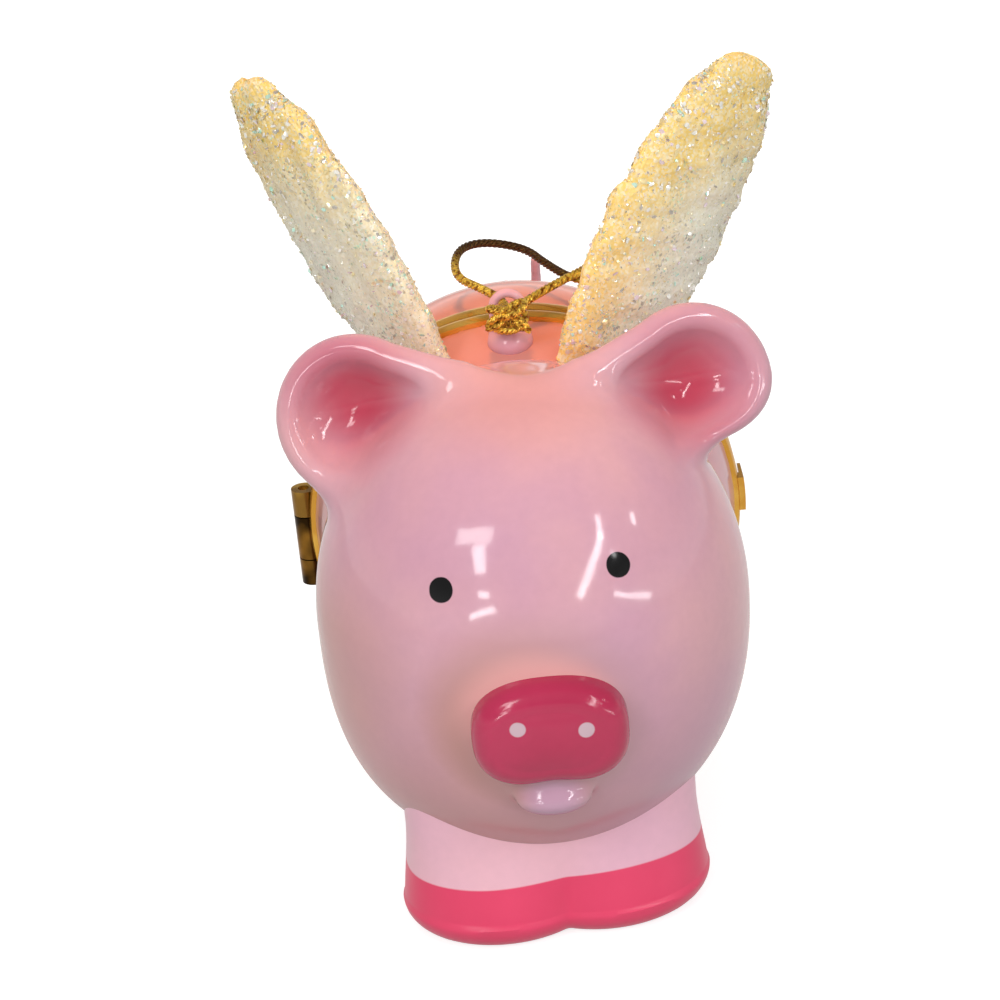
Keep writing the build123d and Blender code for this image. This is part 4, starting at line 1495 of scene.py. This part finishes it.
# %% Flakes
FLAKES = 4800
BARE_ROOT_RINGS = 8
BARE_TIP_RINGS = 4
SMALL_FLAKE = 0.07
LARGE_FLAKE = 0.4
LARGE_RARITY = 4
FLAKE_TILT = 0.45
FLAKE_TURN = 0.8
FLAKE_NARROW = 0.4
FLAKE_LIFT = 0.08
FLAKE_HEIGHT = 0.12
FLAKE_SIDES = 6


def flakes_part(rings, draw):
    """Low double cones with six sides, at random places of the wing's grid, tilted off its surface."""
    ring = draw.integers(BARE_ROOT_RINGS, len(rings) - BARE_TIP_RINGS, FLAKES)
    place = draw.integers(0, rings.shape[1], FLAKES)
    centre = rings[ring, place]
    along = unit(rings[ring + 2, place] - rings[ring - 2, place])
    ahead = rings[ring, (place + 2) % rings.shape[1]] - rings[ring, place - 2]
    facing = unit(np.cross(along, ahead))
    middle = rings[ring].mean(axis=1)
    facing = facing * np.sign(np.einsum("ij,ij->i", facing, centre - middle))[:, None]
    facing = unit(facing + FLAKE_TILT * draw.normal(size=facing.shape))
    side = unit(np.cross(facing, along + FLAKE_TURN * draw.normal(size=along.shape)))
    rise = np.cross(facing, side) * draw.uniform(FLAKE_NARROW, 1, (FLAKES, 1))
    size = draw.uniform(0, 1, FLAKES) ** LARGE_RARITY
    radius = (SMALL_FLAKE + (LARGE_FLAKE - SMALL_FLAKE) * size)[:, None, None]
    angle = np.linspace(0, 2 * np.pi, FLAKE_SIDES, endpoint=False)[None, :, None]
    lift = centre + FLAKE_LIFT * facing
    rim = lift[:, None] + radius * (np.cos(angle) * side[:, None] + np.sin(angle) * rise[:, None])
    caps = lift[:, None] + FLAKE_HEIGHT * radius * np.stack([facing, -facing], axis=1)
    points = np.concatenate([rim, caps], axis=1).reshape(-1, 3)
    start = (FLAKE_SIDES + 2) * np.arange(FLAKES)[:, None]
    here = np.arange(FLAKE_SIDES)
    there = (here + 1) % FLAKE_SIDES
    top = np.stack([start + here, start + there, start + FLAKE_SIDES + 0 * here], axis=-1)
    bottom = np.stack([start + there, start + here, start + FLAKE_SIDES + 1 + 0 * here], axis=-1)
    blocks = [np.concatenate([top, bottom], axis=1).reshape(-1, 3)]
    tint = np.repeat(draw.uniform(0, 1, FLAKES), FLAKE_SIDES + 2)
    return (points, outward(points, blocks)), tint


# %% Glitter materials
CRUST_WHITE = rgb(240, 236, 214)
# Cream of the painted warm light on the tip and the inner edge
CRUST_WARM_LIT = rgb(252, 217, 124)
CRUST_SCALE = 3600.0
CRUST_ROUGHNESS = (0.18, 0.7)
CRUST_BUMP = 0.6
CRUST_DEPTH = 0.00012
CLUSTER_SCALE = 170.0
CLUSTER_EDGE = (0.5, 0.62)
# Channel of the grain's random colour, where it starts, its most, its colour, its share outside clusters
CRUST_SPECKS = [
    ("Green", 0.4, 0.7, rgb(255, 253, 242), 0.8),
    # Grey specks: painted shade between the grains
    ("Red", 0.8, 0.75, rgb(140, 133, 124), 0.1),
    ("Blue", 0.88, 0.7, rgb(184, 242, 220), 0.1),
]
FILM_WHITE = rgb(252, 250, 240)
FILM_TINTS = [
    FILM_WHITE,
    rgb(250, 236, 190),
    FILM_WHITE,
    rgb(206, 248, 230),
    rgb(250, 232, 176),
    FILM_WHITE,
    rgb(196, 190, 178),
    rgb(250, 240, 206),
    rgb(244, 226, 232),
    FILM_WHITE,
]


def wing_crust():
    """White grain, painted warm light as cream at tip and inner edge, white, grey and mint specks in
    clusters.
    """
    material, tree, shader = new_material("wing crust")
    place = place_of(tree)
    cells = add_node(tree, "ShaderNodeTexVoronoi", {"Vector": place, "Scale": CRUST_SCALE})
    shade = add_node(tree, "ShaderNodeSeparateColor", {"Color": cells.outputs["Color"]}).outputs
    cluster = remap(tree, noise(tree, place, CLUSTER_SCALE, 1.0), *CLUSTER_EDGE)
    colour = mix(tree, stored(tree, "warm_lit"), CRUST_WHITE, CRUST_WARM_LIT)
    for channel, start, most, tone, everywhere in CRUST_SPECKS:
        picked = remap(tree, shade[channel], start, 1.0, most=most)
        share = calculate(tree, "MAXIMUM", cluster, everywhere)
        colour = mix(tree, calculate(tree, "MULTIPLY", picked, share), colour, tone)
    gloss = remap(tree, shade["Green"], 0.0, 1.0, *CRUST_ROUGHNESS)
    fill(tree, shader, {"Base Color": colour, "Roughness": gloss})
    raise_bump(tree, shader, shade["Blue"], CRUST_BUMP, CRUST_DEPTH)
    return material


def flake_film():
    """Clear film with a metal coat: each flake takes one tint from a run of pale rainbow colours."""
    material, tree, shader = new_material("glitter film", Roughness=0.2, Metallic=0.45)
    ramp = add_node(tree, "ShaderNodeValToRGB", {"Fac": stored(tree, "tint")})
    ramp.color_ramp.interpolation = "CONSTANT"
    stops = ramp.color_ramp.elements
    while len(stops) < len(FILM_TINTS):
        stops.new(1.0)
    for number, colour in enumerate(FILM_TINTS):
        stops[number].position = number / len(FILM_TINTS)
        stops[number].color = colour
    fill(tree, shader, {"Base Color": ramp.outputs["Color"]})
    return material


# %% Wings in place
SEED = 7

crust = wing_crust()
film = flake_film()
draw = np.random.default_rng(SEED)
# Lean, splay in degrees, side, length, width, set back, and how much painted warm light its inner edge has
WINGS = [
    ("left_wing", 24.3, 36.0, -1, 36.6, 20.2, 0.4, 0.3),
    ("right_wing", 28.8, 54.0, 1, 35.9, 19.2, -0.9, 1.0),
]
for name, *wing_values in WINGS:
    rings, warm_lit = wing_rings(*wing_values, draw)
    wing = make_piece(f"{name}_crust", skin(rings), FRONT_HALF, crust, [name])
    store(wing, "warm_lit", np.concatenate([warm_lit[1:-1].ravel(), [warm_lit[0].mean(), warm_lit[-1].mean()]]))
    flakes, tint = flakes_part(rings, draw)
    flake_piece = make_piece(f"{name}_flakes", flakes, FRONT_HALF, film)
    store(flake_piece, "tint", tint)

# %% [markdown]
# ## Gilt brass
# The rims, hinge and clasp keep the shape that the CAD gave them, and only need their finish: thin
# gilding over brass, polished but handled, so its gloss is broken by faint smears and it is darker where
# it is worn. The hinge's middle and lower knuckles are painted a dark brass, as painted shade for the dark
# room that they mirror, and its upper knuckle and pin a brighter gilt, as a painted highlight.

# %% Brass on the CAD parts
SMEAR_SCALE = 420.0
SMEAR_ROUGHNESS = (0.12, 0.34)
WEAR_SCALE = 130.0
WEAR_EDGE = (0.33, 0.5)


def gilt_brass(name, bright, worn, metal):
    """Polished gilding: one noise smears its gloss, and a larger one mixes in worn, darker patches."""
    material, tree, shader = new_material(name, Metallic=metal)
    place = place_of(tree)
    gloss = remap(tree, noise(tree, place, SMEAR_SCALE, 4.0), 0.0, 1.0, *SMEAR_ROUGHNESS)
    patch = remap(tree, noise(tree, place, WEAR_SCALE, 3.0), *WEAR_EDGE)
    fill(tree, shader, {"Base Color": mix(tree, patch, bright, worn), "Roughness": gloss})
    return material


# Name, bright and worn colour, how much of a metal it is, and the nodes that have it
BRASS = [
    ("rim gilt", rgb(250, 206, 100), rgb(222, 164, 62), 0.75,
     ["front_rim", "rear_rim", "clasp_tongue", "clasp_catch"]),
    # Hinge: painted highlight on the upper knuckle and pin, painted shade on the other knuckles
    ("hinge gilt", rgb(236, 188, 78), rgb(140, 102, 34), 0.7, ["hinge_upper_knuckle", "hinge_pin"]),
    ("hinge brass", rgb(164, 116, 46), rgb(46, 31, 13), 1.0,
     ["hinge_middle_knuckle", "hinge_lower_knuckle"]),
]
for *finish, names in BRASS:
    brass = gilt_brass(*finish)
    for name in names:
        for node_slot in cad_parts[name].material_slots:
            node_slot.material = brass
    print(brass.name, names)
